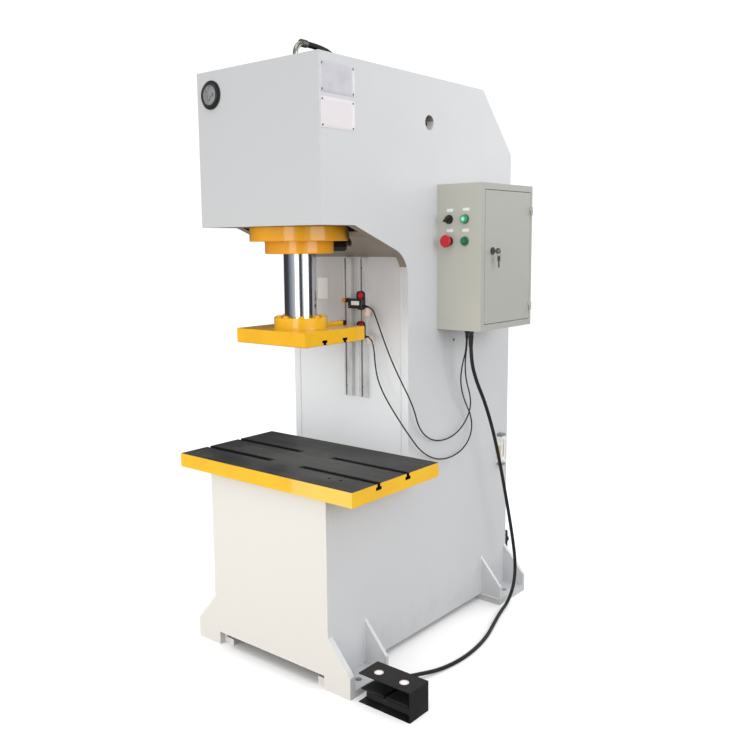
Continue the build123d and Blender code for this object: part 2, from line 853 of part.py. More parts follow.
# Pressure gauge: flanged case with a dial floor, its window, and the needle between them
gauge_plane = Plane(origin=(gauge_x, front_y, gauge_height), x_dir=(1, 0, 0), z_dir=(0, 0, 1))
gauge_axis = Axis((gauge_x, front_y, gauge_height), (0, 1, 0))
with BuildPart() as gauge_case:
    with BuildSketch(gauge_plane):
        with BuildLine():
            Polyline(
                (0, gauge_body_depth),
                (gauge_body_radius, gauge_body_depth),
                (gauge_body_radius, 0),
                (gauge_flange_radius, 0),
                (gauge_flange_radius, -3),
                (gauge_rim_radius, -4),
                (gauge_rim_radius, -gauge_rim_depth + 2),
                (gauge_rim_radius - 2, -gauge_rim_depth),
                (gauge_window_radius + 2, -gauge_rim_depth),
                (gauge_window_radius, -gauge_rim_depth + 2),
                (gauge_window_radius, gauge_dial_depth),
                (0, gauge_dial_depth),
                close=True,
            )
        make_face()
    revolve(axis=gauge_axis)
    with BuildSketch(Plane((gauge_x, front_y + gauge_dial_depth, gauge_height), z_dir=(0, -1, 0))):
        Circle(1.5)
    extrude(amount=gauge_dial_depth + 2)
    with BuildSketch(Plane((gauge_x, front_y + gauge_body_depth, gauge_height), z_dir=(0, 1, 0))):
        RegularPolygon(9, 6)
    extrude(amount=18)
gauge_case.part.label = "gauge_case"
export_step(gauge_case.part, "parts/gauge_case.step")

glass_y = front_y - gauge_rim_depth + 3
with BuildPart() as gauge_glass:
    with BuildSketch(Plane((gauge_x, glass_y, gauge_height), z_dir=(0, 1, 0))):
        Circle(gauge_window_radius)
    extrude(amount=gauge_glass_thickness)
gauge_glass.part.label = "gauge_glass"
export_step(gauge_glass.part, "parts/gauge_glass.step")

# The needle points at the dial's zero, low on the left
needle_y = front_y + 1.0
needle_angle = math.radians(225)
needle_direction = (math.cos(needle_angle), 0, math.sin(needle_angle))
with BuildPart() as gauge_needle:
    with BuildSketch(Plane((gauge_x, needle_y, gauge_height), x_dir=needle_direction, z_dir=(0, -1, 0))):
        with BuildLine():
            Polyline((22, 0), (0, 2.2), (-9, 1.6), (-9, -1.6), (0, -2.2), close=True)
        make_face()
        Circle(4)
        Circle(1.5 + running_clearance, mode=Mode.SUBTRACT)
    extrude(amount=1.2)
gauge_needle.part.label = "gauge_needle"
export_step(gauge_needle.part, "parts/gauge_needle.step")

# Control box shell, open on its outer side, with a return lip that the door shuts against
box_height = box_high - box_low
open_y = (box_front_y + box_rim, box_rear_y - box_rear_rim)
open_z = (box_low + box_rim, box_high - box_rim)
open_length = open_y[1] - open_y[0]
open_height = open_z[1] - open_z[0]
hinge_x = box_x + hinge_radius
hinge_y = open_y[1] + 1.0
gland_places = (
    (318.0, box_front_y + 77.3),
    (330.0, box_front_y + 54.3),
    (352.0, box_front_y + 46.3),
)
gland_radii = (switch_cable_radius, switch_cable_radius, pedal_cable_radius)
with BuildPart() as box_shell:
    with Locations((half_width, box_front_y, box_low)):
        Box(box_depth, box_length, box_height, align=CORNER)
    with Locations((half_width + box_sheet, box_front_y + box_sheet, box_low + box_sheet)):
        Box(
            box_depth - 2 * box_sheet,
            box_length - 2 * box_sheet,
            box_height - 2 * box_sheet,
            align=CORNER,
            mode=Mode.SUBTRACT,
        )
    with Locations((box_x - box_lip, open_y[0] - box_sheet, open_z[0] - box_sheet)):
        Box(box_lip, open_length + 2 * box_sheet, open_height + 2 * box_sheet, align=CORNER)
    with Locations((box_x - box_lip - 1, open_y[0], open_z[0])):
        Box(box_lip + 2, open_length, open_height, align=CORNER, mode=Mode.SUBTRACT)
    with BuildSketch(Plane.XZ.offset(-box_front_y - box_sheet)):
        for column in control_columns:
            for row in control_rows:
                with Locations((column, row)):
                    Circle(control_hole_radius)
    extrude(amount=box_sheet, mode=Mode.SUBTRACT)
    with BuildSketch(Plane.XY.offset(box_low)):
        for place, radius in zip(gland_places, gland_radii):
            with Locations(place):
                Circle(radius + gland_wall)
    extrude(amount=box_sheet, mode=Mode.SUBTRACT)
    for hinge_z in hinge_heights:
        with BuildSketch(Plane.XY.offset(hinge_z - hinge_length / 2)):
            with Locations((hinge_x, hinge_y)):
                Circle(hinge_radius)
            with Locations((box_x - 1, hinge_y + hinge_radius)):
                Rectangle(hinge_radius + 1, 2 * hinge_radius, align=(Align.MIN, Align.CENTER))
        extrude(amount=hinge_length / 2)
        with BuildSketch(Plane.XY.offset(hinge_z)):
            with Locations((hinge_x, hinge_y)):
                Circle(hinge_pin_radius)
        extrude(amount=hinge_length / 2)
box_shell.part.label = "box_shell"
export_step(box_shell.part, "parts/box_shell.step")

# Door: a folded pan that closes flush in the opening, with the upper hinge knuckles
door_length = open_length - 2 * door_gap
door_height = open_height - 2 * door_gap
door_fold = box_lip - 2
door_front_y = open_y[0] + door_gap
door_low = open_z[0] + door_gap
lock_y = box_front_y + lock_inset
with BuildPart() as box_door:
    with Locations((box_x - door_fold, door_front_y, door_low)):
        Box(door_fold, door_length, door_height, align=CORNER)
    with Locations((box_x - door_fold, door_front_y + box_sheet, door_low + box_sheet)):
        Box(
            door_fold - box_sheet,
            door_length - 2 * box_sheet,
            door_height - 2 * box_sheet,
            align=CORNER,
            mode=Mode.SUBTRACT,
        )
    with BuildSketch(Plane((box_x - box_sheet, lock_y, lock_height), z_dir=(1, 0, 0))):
        Circle(lock_radius + running_clearance)
    extrude(amount=box_sheet, mode=Mode.SUBTRACT)
    for hinge_z in hinge_heights:
        with BuildSketch(Plane.XY.offset(hinge_z + 0.4)):
            with Locations((hinge_x, hinge_y)):
                Circle(hinge_radius)
            with Locations((box_x - 0.5, hinge_y - hinge_radius - 1)):
                Rectangle(hinge_radius + 0.5, 2 * hinge_radius, align=(Align.MIN, Align.CENTER))
            with Locations((hinge_x, hinge_y)):
                Circle(hinge_pin_radius + running_clearance, mode=Mode.SUBTRACT)
        extrude(amount=hinge_length / 2 - 0.4)
box_door.part.label = "box_door"
export_step(box_door.part, "parts/box_door.step")

# Door lock with its cam and the key left in it
cam_length = lock_inset - box_rim + 8
key_hole_x = box_x + 24.0
key_bow_radius = 9.5
key_sheet = 2.0
lock_head_depth = 3.0
with BuildPart() as door_lock:
    with BuildSketch(Plane((box_x - door_fold - 6, lock_y, lock_height), z_dir=(1, 0, 0))):
        Circle(lock_radius)
    extrude(amount=door_fold + 6 + running_clearance)
    with BuildSketch(Plane((box_x + running_clearance, lock_y, lock_height), z_dir=(1, 0, 0))):
        Circle(lock_head_radius)
    extrude(amount=lock_head_depth)
    with Locations((box_x - door_fold - 6, lock_y - 7, lock_height - cam_length)):
        Box(3, 14, cam_length, align=CORNER)
    with BuildSketch(Plane.XZ.offset(-lock_y - key_sheet / 2)):
        with Locations((box_x + 8, lock_height)):
            Rectangle(12, 7)
        with Locations((key_hole_x - 3, lock_height)):
            Circle(key_bow_radius)
        with Locations((key_hole_x, lock_height)):
            Circle(3, mode=Mode.SUBTRACT)
    extrude(amount=key_sheet)
door_lock.part.label = "door_lock"
export_step(door_lock.part, "parts/door_lock.step")

# Key ring through the key's eye, with the spare key hanging from it
ring_radius = 10.0
ring_wire = 0.8
with BuildPart() as key_ring:
    ring_center = Vector(key_hole_x, lock_y, lock_height - ring_radius)
    with Locations(Plane(ring_center, z_dir=(1, 0, 0))):
        Torus(ring_radius, ring_wire)
    spare_origin = (key_hole_x - key_sheet / 2, lock_y, lock_height - 2 * ring_radius)
    with BuildSketch(Plane(spare_origin, x_dir=(0, 1, 0), z_dir=(1, 0, 0))):
        with Locations((0, -4)):
            Circle(9)
        with Locations((0, -20)):
            Rectangle(7, 24)
        with Locations((0, 1.5)):
            Circle(1.4, mode=Mode.SUBTRACT)
    extrude(amount=key_sheet)
key_ring.part.label = "key_ring"
export_step(key_ring.part, "parts/key_ring.step")

# Mounting panel on stand-offs inside the box
standoff_length = 8.0
panel_x = half_width + box_sheet + standoff_length
panel_margin = 30.0
panel_sheet = 2.5
standoff_inset = 22.0
control_clearance = 14.0
panel_length = box_length - 2 * panel_margin - control_clearance
panel_height = box_height - 2 * panel_margin
with BuildPart() as box_panel:
    panel_y = box_front_y + (box_length + control_clearance) / 2
    panel_z = box_low + box_height / 2
    with BuildSketch(Plane((panel_x, panel_y, panel_z), x_dir=(0, 1, 0), z_dir=(1, 0, 0))):
        Rectangle(panel_length, panel_height)
    extrude(amount=panel_sheet)
    with BuildSketch(Plane((panel_x, panel_y, panel_z), x_dir=(0, 1, 0), z_dir=(1, 0, 0))):
        with GridLocations(panel_length - 2 * standoff_inset, panel_height - 2 * standoff_inset, 2, 2):
            Circle(5)
    extrude(amount=-standoff_length)
box_panel.part.label = "box_panel"
export_step(box_panel.part, "parts/box_panel.step")

# Contactor, relay, transformer and terminal strip on the panel, each given by its distance
# behind the box's front, its height above the box's floor, its depth, width and height
relay_x = panel_x + panel_sheet
relays = (
    (83.3, 336.3, 48.0, 46.0, 80.0),
    (143.3, 336.3, 48.0, 46.0, 80.0),
    (213.3, 326.3, 70.0, 70.0, 90.0),
    (83.3, 186.3, 60.0, 36.0, 60.0),
    (163.3, 186.3, 60.0, 36.0, 60.0),
    (73.3, 76.3, 40.0, 190.0, 30.0),
)
relay_cap = 5.0
with BuildPart() as box_relays:
    for inset, rise, depth, width, tall in relays:
        with Locations((relay_x, box_front_y + inset, box_low + rise)):
            Box(depth, width, tall, align=CORNER)
        with Locations((relay_x + depth, box_front_y + inset + 4, box_low + rise + tall / 4)):
            Box(relay_cap, width - 8, tall / 2, align=CORNER)
box_relays.part.label = "box_relays"
export_step(box_relays.part, "parts/box_relays.step")

# Bezels of the four controls, each with its body behind the panel and a nut
with BuildPart() as control_bezels:
    for column in control_columns:
        for row in control_rows:
            face = Plane((column, box_front_y, row), z_dir=(0, -1, 0))
            with BuildSketch(face):
                Circle(bezel_radius)
            extrude(amount=bezel_height, taper=12)
            with BuildSketch(face):
                Circle(control_hole_radius)
            extrude(amount=-control_body_depth)
            with BuildSketch(face.offset(-box_sheet)):
                RegularPolygon(bezel_radius, 6)
            extrude(amount=-5)
            with BuildSketch(face.offset(bezel_height)):
                Circle(control_hole_radius - 3)
            extrude(amount=-bezel_height - 12, mode=Mode.SUBTRACT)
control_bezels.part.label = "control_bezels"
export_step(control_bezels.part, "parts/control_bezels.step")

# Lamp lens, a shallow dome over its bezel
plug_radius = control_hole_radius - 3 - running_clearance
control_places = {
    "lamp": (control_columns[1], control_rows[1]),
    "selector_knob": (control_columns[0], control_rows[1]),
    "estop_button": (control_columns[0], control_rows[0]),
    "start_button": (control_columns[1], control_rows[0]),
}


def control_plane(name, stand_off):
    column, row = control_places[name]
    return Plane((column, box_front_y - bezel_height - stand_off, row), x_dir=(1, 0, 0), z_dir=(0, -1, 0))


lens_radius = 13.0
lens_height = 9.0
with BuildPart() as lamp:
    with BuildSketch(control_plane("lamp", 0)):
        Circle(lens_radius)
    extrude(amount=lens_height)
    fillet(lamp.faces().sort_by(Axis.Y)[0].edges(), 4)
    with BuildSketch(control_plane("lamp", 0)):
        Circle(plug_radius)
    extrude(amount=-10)
lamp.part.label = "lamp"
export_step(lamp.part, "parts/lamp.step")

# Selector: a round skirt with a raised finger grip
selector_radius = 12.0
grip_height = 15.0
with BuildPart() as selector_knob:
    with BuildSketch(control_plane("selector_knob", 0.3)):
        Circle(selector_radius)
    extrude(amount=4)
    with BuildSketch(control_plane("selector_knob", 4.3)):
        SlotOverall(2 * selector_radius - 1, 8, rotation=45)
    extrude(amount=grip_height, taper=4)
    with BuildSketch(control_plane("selector_knob", 0.3)):
        Circle(plug_radius)
    extrude(amount=-10)
selector_knob.part.label = "selector_knob"
export_step(selector_knob.part, "parts/selector_knob.step")

# Emergency stop: a mushroom head on a stem
estop_travel = 6.0
estop_radius = 20.0
with BuildPart() as estop_button:
    with BuildSketch(control_plane("estop_button", 0)):
        Circle(plug_radius)
    extrude(amount=-4)
    with BuildSketch(control_plane("estop_button", 0)):
        Circle(plug_radius)
    extrude(amount=estop_travel + 6)
    with BuildSketch(control_plane("estop_button", estop_travel + 2)):
        Circle(estop_radius - 4)
    extrude(amount=6, taper=-25)
    with BuildSketch(control_plane("estop_button", estop_travel + 8)):
        Circle(estop_radius)
    extrude(amount=7)
    fillet(estop_button.faces().sort_by(Axis.Y)[0].edges(), 5)
estop_button.part.label = "estop_button"
export_step(estop_button.part, "parts/estop_button.step")

# Start button: a plain cap that travels into its bezel
start_travel = 4.0
with BuildPart() as start_button:
    with BuildSketch(control_plane("start_button", 0)):
        Circle(plug_radius)
    extrude(amount=start_travel + 1.5)
    fillet(start_button.faces().sort_by(Axis.Y)[0].edges(), 1)
    with BuildSketch(control_plane("start_button", 0)):
        Circle(plug_radius)
    extrude(amount=-7)
start_button.part.label = "start_button"
export_step(start_button.part, "parts/start_button.step")

# Cable glands under the control box
with BuildPart() as cable_glands:
    for place, radius in zip(gland_places, gland_radii):
        with BuildSketch(Plane.XY.offset(box_low + box_sheet + gland_nut_height)):
            with Locations(place):
                Circle(radius + gland_wall)
        extrude(amount=-box_sheet - gland_nut_height)
        with BuildSketch(Plane.XY.offset(box_low)):
            with Locations(place):
                RegularPolygon(radius + gland_wall + 2, 6)
        extrude(amount=-gland_body_share * gland_length)
        with BuildSketch(Plane.XY.offset(box_low - gland_body_share * gland_length)):
            with Locations(place):
                Circle(radius + gland_wall)
        extrude(amount=-(1 - gland_body_share) * gland_length, taper=15)
cable_glands.part.label = "cable_glands"
export_step(cable_glands.part, "parts/cable_glands.step")

# Foot pedal guard: one folded sheet, open at the front and on the left
pedal_front_y = front_y + pedal_setback
pedal_back_y = pedal_front_y + pedal_depth
pedal_right = pedal_left + pedal_width
pedal_entry_x = 400.0
pedal_entry_z = 27.0
bush_radius = pedal_cable_radius + 4
with BuildPart() as pedal_guard:
    with Locations((pedal_left, pedal_front_y, 0)):
        Box(pedal_width, pedal_depth, pedal_height, align=CORNER)
    with Locations((pedal_left - 1, pedal_front_y - 1, pedal_sheet)):
        Box(
            pedal_width - pedal_sheet + 1,
            pedal_depth - pedal_sheet + 1,
            pedal_height - 2 * pedal_sheet,
            align=CORNER,
            mode=Mode.SUBTRACT,
        )
    with BuildSketch(Plane.XZ.offset(-pedal_back_y)):
        with Locations((pedal_entry_x, pedal_entry_z)):
            Circle(bush_radius)
    extrude(amount=pedal_sheet, mode=Mode.SUBTRACT)
pedal_guard.part.label = "pedal_guard"
export_step(pedal_guard.part, "parts/pedal_guard.step")

# Switch base inside the guard, with the axle of both treadles and the cable bush
treadle_width = (pedal_width - pedal_sheet - 3 * treadle_gap) / 2
treadle_axle_y = pedal_back_y - pedal_sheet - 16
treadle_starts = (pedal_left + treadle_gap, pedal_left + 2 * treadle_gap + treadle_width)
post_thickness = 3.0
post_width = 14.0
post_top = treadle_axle_height + 5
axle_posts = (
    pedal_left + treadle_gap / 2 + 0.5,
    treadle_starts[1] - treadle_gap / 2,
    pedal_right - pedal_sheet - treadle_gap / 2 - 0.5,
)
with BuildPart() as pedal_switch:
    with Locations((pedal_left + 4, pedal_front_y + 30, pedal_sheet)):
        Box(pedal_width - pedal_sheet - 8, pedal_depth - pedal_sheet - 34, 18, align=CORNER)
    for post_x in axle_posts:
        with Locations((post_x, treadle_axle_y, pedal_sheet)):
            Box(post_thickness, post_width, post_top - pedal_sheet, align=LOW)
    with BuildSketch(Plane.YZ.offset(pedal_left + 2)):
        with Locations((treadle_axle_y, treadle_axle_height)):
            Circle(treadle_axle_radius)
    extrude(amount=pedal_width - pedal_sheet - 4)
    with BuildSketch(Plane((pedal_entry_x, pedal_back_y + 8, pedal_entry_z), z_dir=(0, -1, 0))):
        Circle(bush_radius)
    extrude(amount=16)
pedal_switch.part.label = "pedal_switch"
export_step(pedal_switch.part, "parts/pedal_switch.step")

# Treadles: ribbed plates that turn on the axle
treadle_rise = 8.0
for name, start_x in zip(("left_treadle", "right_treadle"), treadle_starts):
    with BuildPart() as treadle:
        with BuildSketch(Plane.YZ.offset(start_x)):
            with BuildLine():
                Polyline(
                    (treadle_axle_y + 6, treadle_axle_height + treadle_axle_radius + 1),
                    (treadle_axle_y - treadle_length, treadle_axle_height + treadle_rise),
                    (treadle_axle_y - treadle_length, treadle_axle_height + treadle_rise + treadle_thickness),
                    (treadle_axle_y + 6, treadle_axle_height + treadle_axle_radius + 1 + treadle_thickness),
                    close=True,
                )
            make_face()
            with Locations((treadle_axle_y, treadle_axle_height)):
                Circle(treadle_axle_radius + 3.5)
                Circle(treadle_axle_radius + running_clearance, mode=Mode.SUBTRACT)
        extrude(amount=treadle_width)
    treadle.part.label = name
    export_step(treadle.part, f"parts/{name}.step")

# Oil tank: a welded box with a flanged lid, in the column's foot
tank_half = inner_half - tank_side_gap
tank_front_y = front_y + tank_setback
tank_depth = side_rear_y - tank_side_gap - tank_front_y
tank_height = tank_high - tank_low
tank_leg_x = foot_pad_inner - tank_side_gap
tank_leg_width = 40.0
with BuildPart() as oil_tank:
    with Locations((-tank_half, tank_front_y, tank_low)):
        Box(2 * tank_half, tank_depth, tank_height, align=CORNER)
    with Locations((-tank_half + tank_wall, tank_front_y + tank_wall, tank_low + tank_wall)):
        Box(
            2 * (tank_half - tank_wall),
            tank_depth - 2 * tank_wall,
            tank_height - 2 * tank_wall,
            align=CORNER,
            mode=Mode.SUBTRACT,
        )
    for leg_x in (-tank_leg_x, tank_leg_x - tank_leg_width):
        with Locations((leg_x, tank_front_y, 0)):
            Box(tank_leg_width, tank_depth, tank_low, align=CORNER)
        with Locations((leg_x + tank_wall, tank_front_y - 1, 0)):
            Box(
                tank_leg_width - 2 * tank_wall,
                tank_depth + 2,
                tank_low - tank_wall,
                align=CORNER,
                mode=Mode.SUBTRACT,
            )
oil_tank.part.label = "oil_tank"
export_step(oil_tank.part, "parts/oil_tank.step")

# Motor on its bell housing, standing on the tank lid, with cooling fins and a slotted cowl
motor_y = tank_front_y + tank_depth / 2
motor_low = tank_high + bell_height
motor_top = motor_low + motor_height
fin_count = 28
fin_depth = 12.0
fin_thickness = 3.0
cowl_height = 55.0
cowl_sheet = 3.0
terminal_depth = 45.0
terminal_width = 80.0
terminal_height = 70.0
with BuildPart() as motor:
    with BuildSketch(Plane.XY.offset(tank_high)):
        with Locations((0, motor_y)):
            Circle(bell_radius + 12)
    extrude(amount=10)
    with BuildSketch(Plane.XY.offset(tank_high)):
        with Locations((0, motor_y)):
            Circle(bell_radius)
    extrude(amount=bell_height)
    with BuildSketch(Plane.XY.offset(motor_low)):
        with Locations((0, motor_y)):
            Circle(motor_radius - fin_depth)
    extrude(amount=motor_height)
    with BuildSketch(Plane.XY.offset(motor_low + 20)):
        with Locations((0, motor_y)):
            with PolarLocations(motor_radius - fin_depth / 2 - 2, fin_count):
                Rectangle(fin_depth + 4, fin_thickness)
    extrude(amount=motor_height - cowl_height - 20)
    with BuildSketch(Plane.XY.offset(motor_top - cowl_height)):
        with Locations((0, motor_y)):
            Circle(motor_radius)
    extrude(amount=cowl_height)
    with BuildSketch(Plane.XY.offset(motor_top - cowl_height + 5)):
        with Locations((0, motor_y)):
            Circle(motor_radius - cowl_sheet)
    extrude(amount=cowl_height - 5 - cowl_sheet, mode=Mode.SUBTRACT)
    with BuildSketch(Plane.XY.offset(motor_top)):
        with Locations((0, motor_y)):
            with PolarLocations(motor_radius * 0.55, 12):
                SlotOverall(40, 8)
    extrude(amount=-cowl_sheet, mode=Mode.SUBTRACT)
    with BuildSketch(Plane.XY.offset(tank_high)):
        with Locations((0, motor_y)):
            Circle(shaft_radius + running_clearance)
    extrude(amount=motor_height + bell_height - cowl_sheet, mode=Mode.SUBTRACT)
    with Locations((motor_radius - fin_depth, motor_y - terminal_width / 2, motor_low + 90)):
        Box(terminal_depth, terminal_width, terminal_height, align=CORNER)
motor.part.label = "motor"
export_step(motor.part, "parts/motor.step")

# Motor shaft with the cooling fan under the cowl
fan_blades = 8
fan_height = 22.0
fan_low = motor_top - 45
hub_radius = 24.0
blade_tip = 70.0
with BuildPart() as motor_shaft:
    with BuildSketch(Plane.XY.offset(tank_high + 1)):
        with Locations((0, motor_y)):
            Circle(shaft_radius)
    extrude(amount=motor_top - 20 - tank_high - 1)
    with BuildSketch(Plane.XY.offset(fan_low)):
        with Locations((0, motor_y)):
            Circle(hub_radius)
    extrude(amount=fan_height)
    with BuildSketch(Plane.XY.offset(fan_low)):
        with Locations((0, motor_y)):
            with PolarLocations((blade_tip + hub_radius) / 2 - 3, fan_blades):
                Rectangle(blade_tip - hub_radius + 6, 3)
    extrude(amount=fan_height)
motor_shaft.part.label = "motor_shaft"
export_step(motor_shaft.part, "parts/motor_shaft.step")

# Shelf across the column's top that carries the valve block
shelf_top = shelf_height + shelf_thickness
valve_left = -80.0
valve_right = 40.0
valve_setback = 425.0
valve_port_inset = 32.0
valve_front_y = front_y + valve_setback
valve_depth = 80.0
valve_port_y = valve_front_y + valve_port_inset
supply_x = -10.0
supply_radius = 8.0
with BuildPart() as valve_shelf:
    with Locations((-inner_half, valve_front_y - 5, shelf_height)):
        Box(2 * inner_half, shelf_depth, shelf_thickness, align=CORNER)
    with BuildSketch(Plane.XY.offset(shelf_height)):
        with Locations((supply_x, valve_port_y)):
            Circle(supply_radius + 1)
    extrude(amount=shelf_thickness, mode=Mode.SUBTRACT)
valve_shelf.part.label = "valve_shelf"
export_step(valve_shelf.part, "parts/valve_shelf.step")

# Valve block with two solenoid coils and the fitting for the pressure hose
valve_height = 85.0
hose_x = -20.0
fitting_height = 20.0
coil_width = 40.0
coil_height = 36.0
coil_depth = 60.0
coil_x = valve_left + 60
coil_cap_radius = 9.0
coil_cap_depth = 14.0
with BuildPart() as valve_block:
    with Locations((valve_left, valve_front_y, shelf_top)):
        Box(valve_right - valve_left, valve_depth, valve_height, align=CORNER)
    chamfer(valve_block.edges().filter_by(Axis.Z), 2)
    with BuildSketch(Plane.XY.offset(shelf_top + valve_height)):
        with Locations((hose_x, valve_port_y)):
            RegularPolygon(hose_radius + 5, 6)
    extrude(amount=fitting_height)
    for coil_z in (shelf_top + 22, shelf_top + 62):
        with BuildSketch(Plane.XZ.offset(-valve_front_y - valve_depth)):
            with Locations((coil_x, coil_z)):
                RectangleRounded(coil_width, coil_height, 6)
        extrude(amount=-coil_depth)
        with BuildSketch(Plane.XZ.offset(-valve_front_y - valve_depth - coil_depth)):
            with Locations((coil_x, coil_z)):
                Circle(coil_cap_radius)
        extrude(amount=-coil_cap_depth)
valve_block.part.label = "valve_block"
export_step(valve_block.part, "parts/valve_block.step")

# Steel pipes: one from the union in the gland up and round to the valve block, and one from
# the pump under the motor up to the block's underside
union_radius = port_radius + 4
union_end = port_reach + 40
rod_pipe_run = 45.0
rod_pipe_turn = 30.0
rod_pipe_height = shelf_top + 35
supply_start_y = motor_y - bell_radius
supply_height = tank_high + bell_height / 2
supply_turn = 40.0
with BuildPart() as steel_pipes:
    with BuildSketch(port_plane.offset(bore_radius)):
        Circle(port_radius)
    extrude(amount=union_end - bore_radius)
    with BuildSketch(port_plane.offset(barrel_radius)):
        RegularPolygon(union_radius, 6)
    extrude(amount=port_reach - barrel_radius - 12)
    pipe_start = port_plane.offset(union_end).origin
    pipe_corner = pipe_start + Vector(port_dx, port_dy, 0) * rod_pipe_run
    with BuildLine() as rod_pipe_path:
        FilletPolyline(
            pipe_start,
            pipe_corner,
            (pipe_corner.X, pipe_corner.Y, rod_pipe_height),
            (pipe_corner.X, valve_port_y, rod_pipe_height),
            (valve_right, valve_port_y, rod_pipe_height),
            radius=rod_pipe_turn,
        )
    with BuildSketch(port_plane.offset(union_end)):
        Circle(port_radius)
    sweep(path=rod_pipe_path.line)
    with BuildLine() as supply_path:
        FilletPolyline(
            (supply_x, supply_start_y, supply_height),
            (supply_x, valve_port_y, supply_height),
            (supply_x, valve_port_y, shelf_top),
            radius=supply_turn,
        )
    with BuildSketch(Plane((supply_x, supply_start_y, supply_height), z_dir=(0, -1, 0))):
        Circle(supply_radius)
    sweep(path=supply_path.line)
steel_pipes.part.label = "steel_pipes"
export_step(steel_pipes.part, "parts/steel_pipes.step")

# Oil sight gauge: a window body held by two hollow bolts that reach the tank
sight_low = sight_bolt_heights[0] - sight_overhang
sight_high = sight_bolt_heights[1] + sight_overhang
sight_nut_radius = 9.0
sight_nut_height = 6.0
sight_window_width = 12.0
sight_window_depth = 8.0
sight_window_length = sight_bolt_heights[1] - sight_bolt_heights[0] - 2 * sight_nut_radius - 4
with BuildPart() as sight_gauge:
    with BuildSketch(Plane.YZ.offset(half_width)):
        with Locations((sight_y, (sight_low + sight_high) / 2)):
            RectangleRounded(sight_width, sight_high - sight_low, 6)
    extrude(amount=sight_depth)
    with BuildSketch(Plane.YZ.offset(half_width + sight_depth)):
        with Locations((sight_y, (sight_low + sight_high) / 2)):
            SlotOverall(sight_window_length, sight_window_width, rotation=90)
    extrude(amount=-sight_window_depth, mode=Mode.SUBTRACT)
    for bolt_z in sight_bolt_heights:
        with BuildSketch(Plane.YZ.offset(tank_half)):
            with Locations((sight_y, bolt_z)):
                Circle(sight_bolt_radius)
        extrude(amount=half_width + sight_depth - tank_half)
        with BuildSketch(Plane.YZ.offset(half_width + sight_depth)):
            with Locations((sight_y, bolt_z)):
                RegularPolygon(sight_nut_radius, 6)
        extrude(amount=sight_nut_height)
sight_gauge.part.label = "sight_gauge"
export_step(sight_gauge.part, "parts/sight_gauge.step")

# Drain valve: a ball valve on a nipple out of the tank's back, with its lever
drain_x = 236.0
drain_height = 176.0
drain_radius = 14.0
drain_reach = 28.0
lever_length = 70.0
drain_end_y = rear_y + drain_reach
with BuildPart() as drain_valve:
    with BuildSketch(Plane.XZ.offset(-drain_end_y)):
        with Locations((drain_x, drain_height)):
            Circle(drain_radius)
    extrude(amount=drain_reach)
    with BuildSketch(Plane.XY.offset(drain_height - lever_length / 2)):
        with Locations((drain_x, drain_end_y - drain_radius)):
            Circle(drain_radius)
    extrude(amount=lever_length)
    fillet(drain_valve.faces().sort_by(Axis.Z)[0].edges(), 4)
    fillet(drain_valve.faces().sort_by(Axis.Z)[-1].edges(), 4)
drain_valve.part.label = "drain_valve"
export_step(drain_valve.part, "parts/drain_valve.step")


# Cables: tubes of straight runs and tangent arcs along hand-chosen points of
# (x, distance behind the front face, z)
def cable(name, radius, route):
    points = [Vector(x, front_y + setback, z) for x, setback, z in route]
    runs = [(b - a).length for a, b in zip(points, points[1:])]
    turns = [(b - a).get_angle(c - b) for a, b, c in zip(points, points[1:], points[2:])]
    radii = [
        0.45 * min(before, after) / math.tan(math.radians(turn / 2))
        for before, after, turn in zip(runs, runs[1:], turns)
    ]
    with BuildPart() as tube:
        with BuildLine() as path:
            FilletPolyline(*points, radius=radii)
        with BuildSketch(Plane(points[0], z_dir=points[1] - points[0])):
            Circle(radius)
        sweep(path=path.line)
    length = sum(edge.length for edge in path.edges())
    share = tube.part.volume / (math.pi * radius**2 * length)
    tube.part.label = name
    export_step(tube.part, f"parts/{name}.step")
    smallest = min(radii) / (2 * radius)
    print(f"{name}: length {length:.1f}, smallest turn {smallest:.1f} diameters, volume share {share:.4f}")


outlet_x = switch_right + gland_collar_length
outlet_setback = switch_back_y - switch_depth / 2 - front_y
gland_end_z = box_low - gland_length
gland_setbacks = [gland_y - front_y for gland_x, gland_y in gland_places]
cable(
    "upper_switch_cable",
    switch_cable_radius,
    [
        (outlet_x, outlet_setback, switch_heights[0] - 8),
        (outlet_x + 28, outlet_setback, switch_heights[0] - 8),
        (146, 371, 1071),
        (166, 370, 1026),
        (187, 368, 985),
        (208, 367, 945),
        (229, 368, 907),
        (250, 372, 868),
        (267, 384, 825),
        (271, 404, 782),
        (269, 424, 736),
        (267, 458, 698),
        (265, 508, 670),
        (265, 562, 658),
        (267, 616, 660),
        (270, 662, 676),
        (275, 700, 707),
        (282, 717, 753),
        (289, 699, 800),
        (296, 666, 846),
        (304, 644, 893),
        (311, 635, 936),
        (gland_places[0][0], gland_setbacks[0], 978),
        (gland_places[0][0], gland_setbacks[0], gland_end_z),
    ],
)
cable(
    "lower_switch_cable",
    switch_cable_radius,
    [
        (outlet_x, outlet_setback, switch_heights[1] - 8),
        (outlet_x + 26, outlet_setback, switch_heights[1] - 8),
        (134, 371, 970),
        (138, 370, 924),
        (149, 369, 880),
        (170, 368, 840),
        (197, 368, 803),
        (224, 370, 768),
        (249, 374, 734),
        (268, 389, 698),
        (270, 424, 660),
        (267, 468, 630),
        (264, 518, 606),
        (264, 572, 592),
        (265, 628, 590),
        (268, 682, 602),
        (272, 722, 632),
        (277, 735, 678),
        (283, 712, 728),
        (290, 672, 770),
        (296, 638, 816),
        (303, 617, 866),
        (315, 612, 920),
        (gland_places[1][0], gland_setbacks[1], 966),
        (gland_places[1][0], gland_setbacks[1], gland_end_z),
    ],
)
